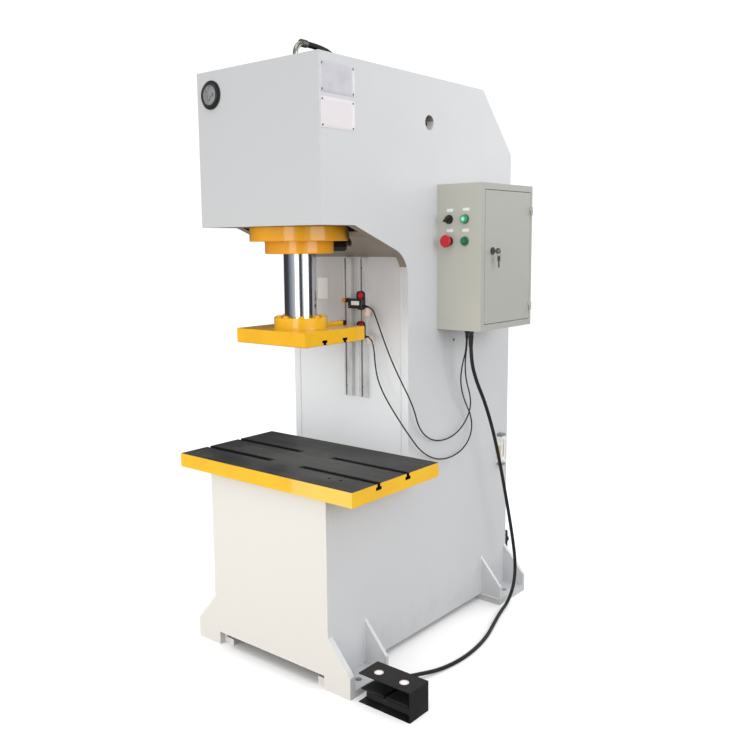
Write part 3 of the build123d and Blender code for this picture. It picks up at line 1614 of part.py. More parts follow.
cable(
    "pedal_cable",
    pedal_cable_radius,
    [
        (gland_places[2][0], gland_setbacks[2], gland_end_z),
        (gland_places[2][0], gland_setbacks[2], 940),
        (350, 638, 864),
        (349, 698, 780),
        (349, 750, 680),
        (349, 795, 570),
        (349, 836, 450),
        (350, 872, 335),
        (352, 900, 230),
        (354, 917, 140),
        (357, 902, 62),
        (362, 850, 16),
        (374, 776, 6.5),
        (404, 684, 6.5),
        (436, 586, 6.5),
        (454, 484, 6.5),
        (456, 388, 6.5),
        (441, 298, 7.5),
        (416, 216, 18),
        (pedal_entry_x, 160, pedal_entry_z),
        (pedal_entry_x, pedal_back_y + 8 - front_y, pedal_entry_z),
    ],
)
cable(
    "pressure_hose",
    hose_radius,
    [
        (0, cylinder_setback + elbow_run, elbow_end.Z),
        (0, 275, elbow_end.Z),
        (-3, 343, elbow_end.Z - 12),
        (-9, 402, elbow_end.Z - 58),
        (-15, 440, elbow_end.Z - 136),
        (-20, 456, elbow_end.Z - 226),
        (hose_x, valve_port_y - front_y, elbow_end.Z - 316),
        (hose_x, valve_port_y - front_y, shelf_top + valve_height + fitting_height),
    ],
)
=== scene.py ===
"""Looks of a C-frame hydraulic press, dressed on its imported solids. Metres, +Z up, front to -Y."""
import math

import bmesh
import bpy
import numpy as np
from mathutils import Matrix, Vector


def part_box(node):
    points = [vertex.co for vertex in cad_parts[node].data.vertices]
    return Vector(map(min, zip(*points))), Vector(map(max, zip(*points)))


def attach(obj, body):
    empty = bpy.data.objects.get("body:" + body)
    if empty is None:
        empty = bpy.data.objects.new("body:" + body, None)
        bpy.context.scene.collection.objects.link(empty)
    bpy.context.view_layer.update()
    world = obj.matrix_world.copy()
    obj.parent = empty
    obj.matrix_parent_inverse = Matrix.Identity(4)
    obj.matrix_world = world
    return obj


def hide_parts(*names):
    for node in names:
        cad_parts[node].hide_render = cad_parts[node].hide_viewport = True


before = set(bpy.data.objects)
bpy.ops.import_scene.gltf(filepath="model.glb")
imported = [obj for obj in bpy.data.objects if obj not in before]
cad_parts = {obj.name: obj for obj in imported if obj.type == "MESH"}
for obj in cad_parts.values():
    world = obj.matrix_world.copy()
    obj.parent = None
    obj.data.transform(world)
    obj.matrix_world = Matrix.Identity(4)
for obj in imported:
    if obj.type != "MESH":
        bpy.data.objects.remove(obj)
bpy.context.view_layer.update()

TURN = 2.0 * math.pi
FRONT = -0.505  # face of the head and of the base
SIDE = 0.25  # half the frame's width
AXIS = -0.3316  # the ram stands on it, at X = 0
COLUMN = -0.1074  # face of the column
RELIEF = 0.161  # radius of the cut in the throat plate round the lock nut
GAUGE_X, GAUGE_Z = -0.187, 1.7585
LAMP_X, LAMP_Z = 0.356, 1.388
PLATE_X, PLATE_Z = -0.1105, 1.1655  # the framed plate on the column
DISC_LEFT, DISC_RIGHT, DISC_Y = 0.402, 0.493, -0.455  # printed discs on the pedal's hood
SENSOR_HEIGHTS = {"upper": 1.121, "lower": 1.023}
RIGHT, FORWARD, UP, DOWN = (1, 0, 0), (0, -1, 0), (0, 0, 1), (0, 0, -1)


# Shader arithmetic

def arithmetic(operation, reflected=False):
    """A method that adds the Math node of one operation."""
    def method(self, other=None):
        values = {0: self} if other is None else {0: self, 1: other}
        if reflected:
            values = {0: other, 1: self}
        return self.finish.node("ShaderNodeMath", {"operation": operation}, values)

    return method


class Field:
    """A number that varies over a surface, handled with ordinary arithmetic."""

    def __init__(self, finish, socket):
        self.finish = finish
        self.socket = socket

    __add__ = arithmetic("ADD")
    __radd__ = arithmetic("ADD", True)
    __sub__ = arithmetic("SUBTRACT")
    __rsub__ = arithmetic("SUBTRACT", True)
    __mul__ = arithmetic("MULTIPLY")
    __rmul__ = arithmetic("MULTIPLY", True)
    __pow__ = arithmetic("POWER")
    __gt__ = arithmetic("GREATER_THAN")
    __lt__ = arithmetic("LESS_THAN")
    size = arithmetic("ABSOLUTE")
    wave = arithmetic("SINE")
    most = arithmetic("MAXIMUM")

    def ramp(self, low, high):
        """0 below low, 1 above high, and smooth between them."""
        return self.finish.node(
            "ShaderNodeMapRange",
            {"interpolation_type": "SMOOTHSTEP"},
            {"Value": self, "From Min": low, "From Max": high},
        )


class Finish:
    """One material and the nodes it is made of."""

    def __init__(self, name):
        self.material = bpy.data.materials.new(name)
        self.material.use_nodes = True
        self.nodes = self.material.node_tree.nodes
        self.links = self.material.node_tree.links
        self.shader = self.nodes["Principled BSDF"]
        self.place = self.node("ShaderNodeTexCoord", {}, {}, "Object")

    def node(self, kind, settings, values, output=0):
        """Adds a node, sets it up, feeds its sockets and hands back one of its outputs."""
        made = self.nodes.new(kind)
        for name, value in settings.items():
            setattr(made, name, value)
        for key, value in values.items():
            self.feed(made.inputs[key], value)
        return Field(self, made.outputs[output])

    def feed(self, socket, value):
        if isinstance(value, Field):
            self.links.new(value.socket, socket)
        else:
            socket.default_value = value

    def axes(self, source=None):
        """The three coordinates of the surface point."""
        parts = self.nodes.new("ShaderNodeSeparateXYZ")
        self.feed(parts.inputs[0], source or self.place)
        return [Field(self, parts.outputs[i]) for i in range(3)]

    def facing(self):
        """The three parts of the surface's own direction."""
        return self.axes(self.node("ShaderNodeNewGeometry", {}, {}, "True Normal"))

    def stretched(self, scale, offset=(0.0, 0.0, 0.0)):
        values = {"Vector": self.place, "Scale": scale, "Location": offset}
        return self.node("ShaderNodeMapping", {}, values)

    def speckle(self, scale, detail=3.0, roughness=0.55, place=None):
        """Cloudy noise between 0 and 1, with its middle at a half."""
        values = {
            "Vector": place or self.place, "Scale": scale, "Detail": detail, "Roughness": roughness,
        }
        return self.node("ShaderNodeTexNoise", {}, values, "Fac")

    def cells(self, scale):
        """Distance to the nearest of many scattered points."""
        values = {"Vector": self.place, "Scale": scale}
        return self.node("ShaderNodeTexVoronoi", {}, values, "Distance")

    def blend(self, amount, first, second):
        """A colour that goes from first to second as amount goes from 0 to 1."""
        values = {"Factor": amount, 6: first, 7: second}
        return self.node("ShaderNodeMix", {"data_type": "RGBA"}, values, 2)

    def raised(self, height, unit):
        """Normal of a surface whose height varies, counted in units of that length."""
        return self.node("ShaderNodeBump", {}, {"Height": height, "Distance": unit})

    def set(self, **values):
        for name, value in values.items():
            self.feed(self.shader.inputs[name.replace("_", " ")], value)
        return self

    def coat(self, base, rough, patch, spots, grain, depth):
        """A colour, a gloss that shifts by patch in spots of one scale, and a grain of another."""
        return self.set(
            Base_Color=base,
            Roughness=rough + patch * self.speckle(spots),
            Normal=self.raised(self.speckle(grain), depth),
        )


def colour(red, green, blue):
    return (red, green, blue, 1.0)


def distance(first, second):
    return (first ** 2.0 + second ** 2.0) ** 0.5


def within(value, low, high):
    """1 where the value lies between the two bounds, and 0 elsewhere."""
    return (value > low) * (value < high)


# Painted shade for the undersides of the head, also laid on the pipe where it passes them.
UNDERSIDE_SHADE = colour(0.25, 0.22, 0.19)


# Finishes

def sprayed_paint(name, shade, dust, gloss=0.34, peel=1.0, shine=0.5, cover=None):
    """Sprayed enamel: fine orange peel over slow filler waves, faint cloudiness, and dust that
    thickens towards the floor."""
    f = Finish(name)
    dusty = 0.22
    cloud = f.speckle(2.3, 4.0)
    grime = (dusty - f.axes()[2]).ramp(0.0, dusty) * f.speckle(19.0, 5.0).ramp(0.45, 0.75)
    rub = f.speckle(60.0, 2.0, place=f.stretched((1.0, 1.0, 0.12))).ramp(0.66, 0.86)
    base = f.blend(cloud.ramp(0.3, 0.7), colour(*shade), colour(*(c * 0.965 for c in shade)))
    base = f.blend(grime * 0.2, base, colour(*dust))
    if cover:
        base = cover(f, base)
    peel_height = f.speckle(520.0, 2.0) * 0.25 * peel + f.speckle(9.0, 2.0) * 2.2
    return f.set(
        Base_Color=base,
        Roughness=gloss + 0.10 * f.speckle(31.0, 3.0) + 0.06 * rub + 0.2 * grime,
        Normal=f.raised(peel_height, 0.00035),
        Coat_Weight=0.12,
        Coat_Roughness=0.18,
        Specular_IOR_Level=shine,
    )


def frame_paint():
    """Pale grey enamel with painted light and shade: the base front lighter and warmer, the head
    front darker and cooler, the column front lighter towards the bottom, brownish painted shade on
    the undersides of the head, and near-black painted shade on the faces inside the column and head."""
    head_low, throat_low, hollow_low = 1.0, 1.2, 0.7
    hollow_half, hollow_front, hollow_rear = 0.2256, -0.0955, 0.512

    def cover(f, base):
        x, y, z = f.axes()
        nx, ny, nz = f.facing()
        front = (ny < -0.5) * (y < FRONT + 0.025)
        # Painted light: the head front darker and cooler, the base front lighter and warmer, as
        # light falls on them.
        base = f.blend(front * (z > head_low), base, colour(0.54, 0.55, 0.565))
        base = f.blend(front * (z < head_low), base, colour(0.70, 0.685, 0.65))
        # Painted light: the column front lighter towards the bottom.
        column = (ny < -0.5) * within(y, -0.12, -0.09)
        base = f.blend(column * (1.18 - z).ramp(0.0, 0.30), base, colour(0.78, 0.80, 0.82))
        # Painted shade: the undersides of the head and the slant's lower faces in a dark brownish
        # colour.
        edge = (ny < -0.3) * within(y, -0.30, -0.12)
        under = (nz < -0.3).most(edge) * (z > throat_low)
        base = f.blend(under, base, UNDERSIDE_SHADE)
        # Painted shade: near black on the faces inside the column and head.
        across = within(y, hollow_front, hollow_rear) * (ny.size() > 0.99)
        hollow = (x.size() < hollow_half) * (z > hollow_low) * (nx.size() > 0.5).most(across)
        return f.blend(hollow, base, colour(0.050, 0.046, 0.042))

    return sprayed_paint("frame_enamel", (0.585, 0.595, 0.61), (0.44, 0.41, 0.36), cover=cover)


def box_paint():
    """Textured powder coat: small crowded pimples of two sizes over an even beige grey, with the
    faces towards +X painted darker as shade.
    """
    f = Finish("box_powder")
    pimples = 1.0 - f.cells(900.0).ramp(0.0, 0.7)
    cloud = f.speckle(5.0, 3.0)
    base = f.blend(cloud, colour(0.455, 0.455, 0.40), colour(0.49, 0.485, 0.43))
    # Painted shade: the faces towards +X darker.
    base = f.blend(f.facing()[0] > 0.5, base, colour(0.38, 0.385, 0.35))
    return f.set(
        Base_Color=base,
        Roughness=0.42 + 0.12 * f.speckle(45.0),
        Normal=f.raised(pimples * 0.5 + f.speckle(300.0, 2.0) * 0.6, 0.00025),
    )


def yellow_enamel(name, dark=None, green=0.46):
    """Brushed-on yellow gloss, thin and brownish at random spots, with soft brush lines. Where
    dark is given, it hands back the share, colour, gloss, height and metal of a bare face."""
    f = Finish(name)
    strokes = f.speckle(30.0, 4.0, place=f.stretched((1.0, 1.0, 9.0)))
    wear = f.speckle(70.0, 5.0).ramp(0.68, 0.80)
    cloud = f.speckle(7.0, 3.0)
    light, deep = colour(0.84, 0.84 * green, 0.009), colour(0.78, 0.74 * green, 0.007)
    base = f.blend(cloud.ramp(0.3, 0.7), light, deep)
    base = f.blend(wear * 0.5, base, colour(0.42, 0.20, 0.02))
    rough = 0.42 + 0.14 * strokes
    height = strokes * 0.8 + f.speckle(420.0, 2.0) * 0.25
    metallic = 0.0
    if dark:
        amount, bare, bare_rough, bare_height, metallic = dark(f)
        base = f.blend(amount, base, bare)
        rough = rough * (1.0 - amount) + bare_rough * amount
        height = height * (1.0 - amount) + bare_height * amount
    f.set(Base_Color=base, Roughness=rough, Normal=f.raised(height, 0.0003), Metallic=metallic)
    painted = 1.0 - metallic.ramp(0.0, 0.01) if dark else 1.0
    return f.set(Coat_Weight=painted * 0.8, Coat_Roughness=0.05, Specular_IOR_Level=0.22)


def bare_table_top(f):
    """Milled and oiled dark iron on top and in the slots: passes along X, stains and scuffs, and
    the slots and holes painted near black as shade.
    """
    table_top, slot_floor, hole_floor = 0.63544, 0.6162, 0.607
    front_slot, rear_slot, slot_half = -0.4105, -0.2715, 0.0133
    slot_start, slot_end = 0.0625, 0.3707
    hole_x, hole_y = 0.241, -0.453
    x, y, z = f.axes()
    top = (z > table_top) * (f.facing()[2] > 0.5)
    slot = ((y - front_slot).size() < slot_half).most((y - rear_slot).size() < slot_half)
    inside = slot * (z > slot_floor) * within(x.size(), slot_start, slot_end)
    holes = ((y - hole_y).size() < 0.0065) * ((x - hole_x).size() < 0.0275)
    inside = inside.most(holes * within(z, hole_floor, 0.6353))
    amount = top.most(inside)
    passes = f.speckle(1.0, 3.0, place=f.stretched((3.0, 260.0, 1.0)))
    stain = f.speckle(6.5, 6.0, 0.6).ramp(0.42, 0.68)
    worn = f.stretched((1.0, 1.7, 1.0), (0.4, 0.2, 0.0))
    bright = f.speckle(3.1, 4.0, place=worn).ramp(0.5, 0.72)
    tone = f.blend(stain, colour(0.062, 0.062, 0.061), colour(0.090, 0.090, 0.088))
    tone = f.blend(bright * 0.6, tone, colour(0.13, 0.13, 0.128))
    # Lighter towards the middle, round the ram's axis.
    away = distance(x * 3.4, (y + 0.33) * 7.0)
    tone = f.blend((1.2 - away).ramp(0.0, 1.0) * 0.55, tone, colour(0.17, 0.168, 0.160))
    tone = f.blend(passes.ramp(0.35, 0.65) * 0.35, tone, colour(0.028, 0.028, 0.028))
    # Painted shade: the slots and holes near black.
    tone = f.blend(inside * 0.85, tone, colour(0.008, 0.008, 0.008))
    rough = 0.52 + 0.16 * stain + 0.10 * passes
    return amount, tone, rough, passes * 0.5, amount * 0.25


def bare_platen_face(f):
    """Machined steel on the platen's lower face, and slots painted near black as shade."""
    front_slot, rear_slot, slot_half = -0.3813, -0.2897, 0.0113
    slot_roof, slot_end, platen_low = 1.0299, 0.1448, 1.0138
    x, y, z = f.axes()
    slot = ((y - front_slot).size() < slot_half).most((y - rear_slot).size() < slot_half)
    inside = slot * (z < slot_roof) * (x.size() < slot_end)
    face = (f.facing()[2] < -0.5) * (z < platen_low)
    amount = inside.most(face)
    passes = f.speckle(1.0, 3.0, place=f.stretched((4.0, 240.0, 1.0)))
    tone = f.blend(passes, colour(0.17, 0.17, 0.17), colour(0.26, 0.26, 0.26))
    # Painted shade: the slots near black.
    tone = f.blend(inside * 0.9, tone, colour(0.010, 0.010, 0.010))
    return amount, tone, 0.34 + 0.2 * passes, passes * 0.5, amount * 0.75


def ground_chrome():
    """Hard chrome: almost a mirror, with hair-fine rings left by the grinding wheel."""
    f = Finish("ground_chrome")
    rings = f.speckle(1.0, 4.0, place=f.stretched((6.0, 6.0, 1500.0)))
    film = f.speckle(25.0, 4.0, place=f.stretched((1.0, 1.0, 0.15)))
    return f.set(
        Base_Color=f.blend(film, colour(0.62, 0.64, 0.68), colour(0.74, 0.75, 0.78)),
        Metallic=1.0,
        Roughness=0.07 + 0.10 * film + 0.03 * rings,
        Normal=f.raised(rings * 0.3, 0.00004),
    )


def metal(name, dark, light, rough, grain=(1.0, 1.0, 1.0), scale=180.0, metallic=1.0):
    """Bare or plated metal: grain drawn out along one axis, and cloudy tarnish."""
    f = Finish(name)
    lines = f.speckle(scale, 3.0, place=f.stretched(grain))
    tarnish = f.speckle(14.0, 5.0).ramp(0.35, 0.75)
    return f.set(
        Base_Color=f.blend(tarnish, colour(*light), colour(*dark)),
        Metallic=metallic,
        Roughness=rough + 0.16 * lines + 0.10 * tarnish,
        Normal=f.raised(lines, 0.0002),
    )


def moulded(name, shade, rough=0.42, dirt=(0.25, 0.24, 0.22), texture=650.0, bump=0.00015):
    """Moulded plastic or rubber: spark-eroded texture and a little dust."""
    f = Finish(name)
    dust = f.speckle(22.0, 5.0).ramp(0.55, 0.85)
    return f.set(
        Base_Color=f.blend(dust * 0.16, colour(*shade), colour(*dirt)),
        Roughness=rough + 0.12 * f.speckle(90.0),
        Normal=f.raised(f.speckle(texture, 2.0), bump),
    )


def clear_window():
    """Clear gauge window: very smooth, nearly all see-through."""
    f = Finish("gauge_window")
    smear = f.speckle(40.0, 3.0)
    f.set(Base_Color=colour(0.95, 0.97, 0.97), Roughness=0.03 + 0.05 * smear)
    return f.set(Alpha=0.05 + 0.04 * smear)


def lens_finish():
    """Lamp lens: green, painted light in the middle as a highlight and dark at the rim, with a faint
    glow and faint prism rings about its axis.
    """
    f = Finish("lamp_lens")
    x, y, z = f.axes()
    across = distance(x - LAMP_X, z - LAMP_Z)
    rings = (across * 3600.0).wave()
    # Painted highlight: the middle of the lens light green, the rim dark green.
    green_and_painted_highlight = f.blend(across.ramp(0.003, 0.010), colour(0.30, 0.80, 0.50), colour(0.03, 0.24, 0.12))
    glow = f.blend(across.ramp(0.0, 0.012), colour(0.5, 1.0, 0.7), colour(0.05, 0.35, 0.18))
    return f.set(
        Base_Color=green_and_painted_highlight,
        Roughness=0.16 + 0.05 * rings,
        Emission_Color=glow,
        Emission_Strength=0.12,
        Normal=f.raised(rings, 0.0001),
    )


def sensor_finish():
    """Black sensor housing whose sensing face is copper orange."""
    f = Finish("sensor_housing")
    x, y, z = f.axes()
    face = ((y + 0.151).size() < 0.0025) * (x < 0.0262)
    base = f.blend(face, colour(0.018, 0.018, 0.020), colour(0.72, 0.20, 0.02))
    return f.coat(base, 0.38, 0.1, 80.0, 600.0, 0.0001)


def striker_finish():
    """Yellow bar with its rear end dipped black."""
    def tip(f):
        amount = f.axes()[1] > -0.172
        return amount, colour(0.015, 0.015, 0.015), 0.4, f.speckle(300.0), amount * 0.02

    return yellow_enamel("striker_enamel", tip, 0.55)


def sight_finish():
    """White sight gauge body, grey at its two bolts, with an oil column behind its window."""
    f = Finish("sight_gauge_body")
    middle, oil_level = 0.551, 0.566
    x, y, z = f.axes()
    ends = (z - middle).size() > 0.0495
    window = within(x, 0.2505, 0.2662) * ((z - middle).size() < 0.037)
    oil = window * (z < oil_level)
    base = f.blend(ends, colour(0.78, 0.78, 0.77), colour(0.22, 0.22, 0.22))
    base = f.blend(window * 0.9, base, colour(0.86, 0.88, 0.86))
    base = f.blend(oil * 0.8, base, colour(0.66, 0.50, 0.24))
    return f.coat(base, 0.22, 0.15, 70.0, 400.0, 0.0001)


def gauge_finish():
    """Gauge case: black enamel, with a pale floor behind the dial."""
    f = Finish("gauge_enamel")
    x, y, z = f.axes()
    across = distance(x - GAUGE_X, z - GAUGE_Z)
    floor = (across < 0.0291) * within(y, FRONT - 0.006, FRONT + 0.0075)
    base = f.blend(floor, colour(0.022, 0.022, 0.024), colour(0.30, 0.31, 0.31))
    return f.coat(base, 0.24, 0.14, 120.0, 500.0, 0.00008)


def framed_plate_finish():
    """White film with a thin dark border, otherwise bare."""
    f = Finish("bordered_film")
    x, y, z = f.axes()
    aside, aloft = (x - PLATE_X).size(), (z - PLATE_Z).size()
    edge = (aside > 0.0238).most(aloft > 0.0368)
    border = edge * (aside < 0.0247) * (aloft < 0.0377)
    base = f.blend(border, colour(0.80, 0.80, 0.79), colour(0.06, 0.06, 0.06))
    return f.coat(base, 0.30, 0.1, 80.0, 50.0, 0.00005)


def disc_finish():
    """Pale printed disc with a faint red rim line."""
    f = Finish("hood_disc")
    x, y, z = f.axes()
    between = (DISC_LEFT + DISC_RIGHT) / 2.0
    middle = between + (DISC_RIGHT - between) * (2.0 * (x > between) - 1.0)
    across = distance(x - middle, y - DISC_Y)
    rim = (across - 0.0112).size() < 0.0006
    scuff = f.speckle(130.0, 5.0).ramp(0.5, 0.75)
    base = f.blend(rim * 0.9, colour(0.80, 0.76, 0.75), colour(0.40, 0.14, 0.12))
    base = f.blend(scuff * 0.5, base, colour(0.52, 0.45, 0.43))
    return f.set(Base_Color=base, Roughness=0.36 + 0.2 * scuff, Normal=f.raised(scuff, 0.00008))


def pipe_finish():
    """Blackened union at the gland, and the pipe beyond it in the brownish painted shade of the
    underside of the plate that it passes through.
    """
    f = Finish("union_and_pipe")
    x, y, z = f.axes()
    # Painted shade beyond the union, the same as the plate's underside.
    base = f.blend(distance(x, y - AXIS) > 0.152, colour(0.010, 0.010, 0.011), UNDERSIDE_SHADE)
    return f.coat(base, 0.34, 0.14, 90.0, 240.0, 0.0001)


def collar_finish():
    """Moulded collars of the four controls: dark green under the lamp and the start button, black
    under the other two."""
    f = Finish("control_collars")
    green = f.axes()[0] > 0.326
    base = f.blend(green, colour(0.016, 0.016, 0.017), colour(0.012, 0.13, 0.060))
    return f.coat(base, 0.28, 0.1, 90.0, 400.0, 0.0001)


finishes = {
    "frame": frame_paint(),
    "bead": sprayed_paint("bead_enamel", (0.60, 0.61, 0.625), (0.44, 0.41, 0.36)),
    "box": box_paint(),
    "yellow": yellow_enamel("yellow_enamel"),
    "ram_yellow": yellow_enamel("ram_enamel", None, 0.58),
    "table": yellow_enamel("table_enamel_and_iron", bare_table_top, 0.58),
    "platen": yellow_enamel("platen_enamel_and_steel", bare_platen_face, 0.54),
    "striker": striker_finish(),
    "chrome": ground_chrome(),
    "cylinder": sprayed_paint("cylinder_primer", (0.20, 0.21, 0.22), (0.25, 0.22, 0.18), 0.45),
    "steel": metal("turned_steel", (0.30, 0.29, 0.28), (0.55, 0.55, 0.55), 0.26, (1.0, 1.0, 8.0)),
    "black_steel": metal(
        "blackened_steel", (0.03, 0.028, 0.026), (0.05, 0.05, 0.052), 0.34, metallic=0.7
    ),
    "zinc": metal("plated_elbow", (0.34, 0.33, 0.29), (0.66, 0.65, 0.60), 0.24, (1.0, 1.0, 3.0)),
    "rail": metal(
        "anodised_rail", (0.52, 0.53, 0.53), (0.66, 0.67, 0.67), 0.34, (1.0, 1.0, 0.01), 900.0, 0.35
    ),
    "sensor": sensor_finish(),
    "red": moulded("red_moulding", (0.50, 0.008, 0.018), 0.25, (0.35, 0.10, 0.08), 300.0, 0.00005),
    "black": moulded("black_moulding", (0.018, 0.018, 0.019), 0.40),
    "green": moulded(
        "green_moulding", (0.012, 0.16, 0.065), 0.28, (0.10, 0.2, 0.12), 300.0, 0.00005
    ),
    "lens": lens_finish(),
    "bezel": metal("bezel_nickel", (0.35, 0.35, 0.34), (0.62, 0.62, 0.61), 0.22, scale=500.0),
    "collar": collar_finish(),
    "gauge": gauge_finish(),
    "glass": clear_window(),
    "needle": moulded("needle_black", (0.012, 0.012, 0.012), 0.35),
    "key": metal("nickel_key", (0.10, 0.10, 0.10), (0.34, 0.34, 0.34), 0.16, scale=400.0),
    "panel": metal("zinc_panel", (0.48, 0.47, 0.40), (0.62, 0.61, 0.56), 0.36, scale=90.0),
    "relay": moulded("relay_casings", (0.22, 0.225, 0.225), 0.45),
    "rubber": moulded(
        "cable_sheath", (0.006, 0.006, 0.0065), 0.46, (0.06, 0.055, 0.05), 900.0, 0.00008
    ),
    "pedal": sprayed_paint(
        "pedal_black", (0.010, 0.010, 0.011), (0.08, 0.075, 0.07), 0.44, 1.6, 0.2
    ),
    "pipe": pipe_finish(),
    "tank": sprayed_paint("tank_grey", (0.30, 0.32, 0.33), (0.25, 0.22, 0.18), 0.36),
    "motor": sprayed_paint("motor_blue", (0.03, 0.09, 0.17), (0.14, 0.12, 0.10), 0.38),
    "sight": sight_finish(),
    "plate": metal(
        "printed_tin", (0.52, 0.52, 0.56), (0.64, 0.64, 0.68), 0.30, (1.0, 1.0, 0.2), 40.0, 0.25
    ),
    "pale_plate": moulded("pale_printed_tin", (0.70, 0.66, 0.68), 0.30, (0.60, 0.52, 0.55), 60.0),
    "rivet": metal("rivets", (0.10, 0.10, 0.10), (0.24, 0.24, 0.24), 0.34),
    "label": moulded("label_film", (0.78, 0.78, 0.77), 0.34, (0.60, 0.60, 0.58), 40.0),
    "framed_plate": framed_plate_finish(),
    "disc": disc_finish(),
    "dial": moulded("dial_card", (0.26, 0.27, 0.28), 0.50, (0.20, 0.20, 0.19), 90.0),
    "ink": moulded("black_ink", (0.010, 0.010, 0.011), 0.5),
    "bright": metal("bright_screws", (0.34, 0.34, 0.33), (0.62, 0.62, 0.61), 0.24, scale=700.0),
    "tag": moulded("tag_paper", (0.80, 0.62, 0.60), 0.62, (0.70, 0.66, 0.64), 120.0),
}
worn_by = {
    "frame": "side_plate_left side_plate_right head_front_plate head_bottom_plate throat_plate "
    "top_plate rear_plate base_front_plate base_top_plate foot_brackets rear_cover valve_shelf",
    "table": "table",
    "platen": "platen",
    "yellow": "lock_ring gland",
    "ram_yellow": "ram_flange flange_screws",
    "striker": "striker",
    "cylinder": "barrel cylinder_cap",
    "chrome": "rod",
    "steel": "piston motor_shaft",
    "zinc": "pressure_elbow",
    "black_steel": "valve_block drain_valve switch_brackets",
    "pipe": "steel_pipes",
    "rail": "switch_rails",
    "sensor": "upper_switch lower_switch",
    "red": "upper_knob lower_knob estop_button",
    "gauge": "gauge_case",
    "glass": "gauge_glass",
    "needle": "gauge_needle",
    "box": "box_shell box_door",
    "key": "door_lock key_ring",
    "panel": "box_panel",
    "relay": "box_relays",
    "collar": "control_bezels",
    "lens": "lamp",
    "black": "selector_knob cable_glands pedal_switch",
    "green": "start_button",
    "pedal": "pedal_guard left_treadle right_treadle",
    "tank": "oil_tank",
    "motor": "motor",
    "sight": "sight_gauge",
}


def placed(name, data):
    """A new object in the scene."""
    made = bpy.data.objects.new(name, data)
    bpy.context.scene.collection.objects.link(made)
    return made


def wear(piece, finish):
    piece.data.materials.clear()
    piece.data.materials.append(finishes[finish].material)


for finish, names in worn_by.items():
    for name in names.split():
        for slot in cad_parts[name].material_slots:
            slot.material = finishes[finish].material


# Cords

def cord(name, node, radius, route):
    """A cable on one smooth line: a NURBS spline with the route's points as its control points."""
    curve = bpy.data.curves.new(name, "CURVE")
    curve.dimensions = "3D"
    curve.bevel_depth = radius
    curve.bevel_resolution = 5
    curve.resolution_u = 14
    curve.use_fill_caps = True
    spline = curve.splines.new("NURBS")
    spline.points.add(len(route) - 1)
    points = np.ones((len(route), 4))
    points[:, :3] = route
    spline.points.foreach_set("co", points.ravel())
    spline.order_u = 3
    spline.use_endpoint_u = True
    piece = placed(name, curve)
    wear(piece, "rubber")
    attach(piece, "frame")
    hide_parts(node)


SENSOR_LEAD, FOOT_LEAD, HOSE = 0.0023, 0.006, 0.009  # radii
cord("upper_sensor_lead", "upper_switch_cable", SENSOR_LEAD, [
    (0.096, -0.1325, 1.113), (0.124, -0.1325, 1.113), (0.146, -0.134, 1.071),
    (0.166, -0.135, 1.026), (0.187, -0.137, 0.985), (0.208, -0.138, 0.945),
    (0.229, -0.137, 0.907), (0.25, -0.133, 0.868), (0.267, -0.121, 0.825),
    (0.271, -0.101, 0.782), (0.269, -0.081, 0.736), (0.267, -0.047, 0.698),
    (0.265, 0.003, 0.67), (0.265, 0.057, 0.658), (0.267, 0.111, 0.66),
    (0.27, 0.157, 0.676), (0.275, 0.195, 0.707), (0.282, 0.212, 0.753),
    (0.289, 0.194, 0.8), (0.296, 0.161, 0.846), (0.304, 0.139, 0.893),
    (0.311, 0.13, 0.936), (0.318, 0.129, 0.978), (0.318, 0.129, 1.0137),
])
cord("lower_sensor_lead", "lower_switch_cable", SENSOR_LEAD, [
    (0.096, -0.1325, 1.015), (0.122, -0.1325, 1.015), (0.134, -0.134, 0.97),
    (0.138, -0.135, 0.924), (0.149, -0.136, 0.88), (0.17, -0.137, 0.84),
    (0.197, -0.137, 0.803), (0.224, -0.135, 0.768), (0.249, -0.131, 0.734),
    (0.268, -0.116, 0.698), (0.27, -0.081, 0.66), (0.267, -0.037, 0.63),
    (0.264, 0.013, 0.606), (0.264, 0.067, 0.592), (0.265, 0.123, 0.59),
    (0.268, 0.177, 0.602), (0.272, 0.217, 0.632), (0.277, 0.23, 0.678),
    (0.283, 0.207, 0.728), (0.29, 0.167, 0.77), (0.296, 0.133, 0.816),
    (0.303, 0.112, 0.866), (0.315, 0.107, 0.92), (0.33, 0.106, 0.966),
    (0.33, 0.106, 1.0137),
])
cord("foot_switch_lead", "pedal_cable", FOOT_LEAD, [
    (0.352, 0.098, 1.0137), (0.352, 0.098, 0.94), (0.35, 0.133, 0.864),
    (0.349, 0.193, 0.78), (0.349, 0.245, 0.68), (0.349, 0.29, 0.57),
    (0.349, 0.331, 0.45), (0.35, 0.367, 0.335), (0.352, 0.395, 0.23),
    (0.354, 0.412, 0.14), (0.357, 0.397, 0.062), (0.362, 0.345, 0.016),
    (0.374, 0.271, 0.0065), (0.404, 0.179, 0.0065), (0.436, 0.081, 0.0065),
    (0.454, -0.021, 0.0065), (0.456, -0.117, 0.0065), (0.441, -0.207, 0.0075),
    (0.416, -0.289, 0.018), (0.4, -0.345, 0.027), (0.4, -0.397, 0.027),
])
cord("oil_hose", "pressure_hose", HOSE, [
    (0.0, -0.2856, 1.914), (0.0, -0.23, 1.914), (-0.003, -0.162, 1.902),
    (-0.009, -0.103, 1.856), (-0.015, -0.065, 1.778), (-0.02, -0.049, 1.688),
    (-0.02, -0.048, 1.598), (-0.02, -0.048, 1.5),
])


# Surfaces worked out as grids of points

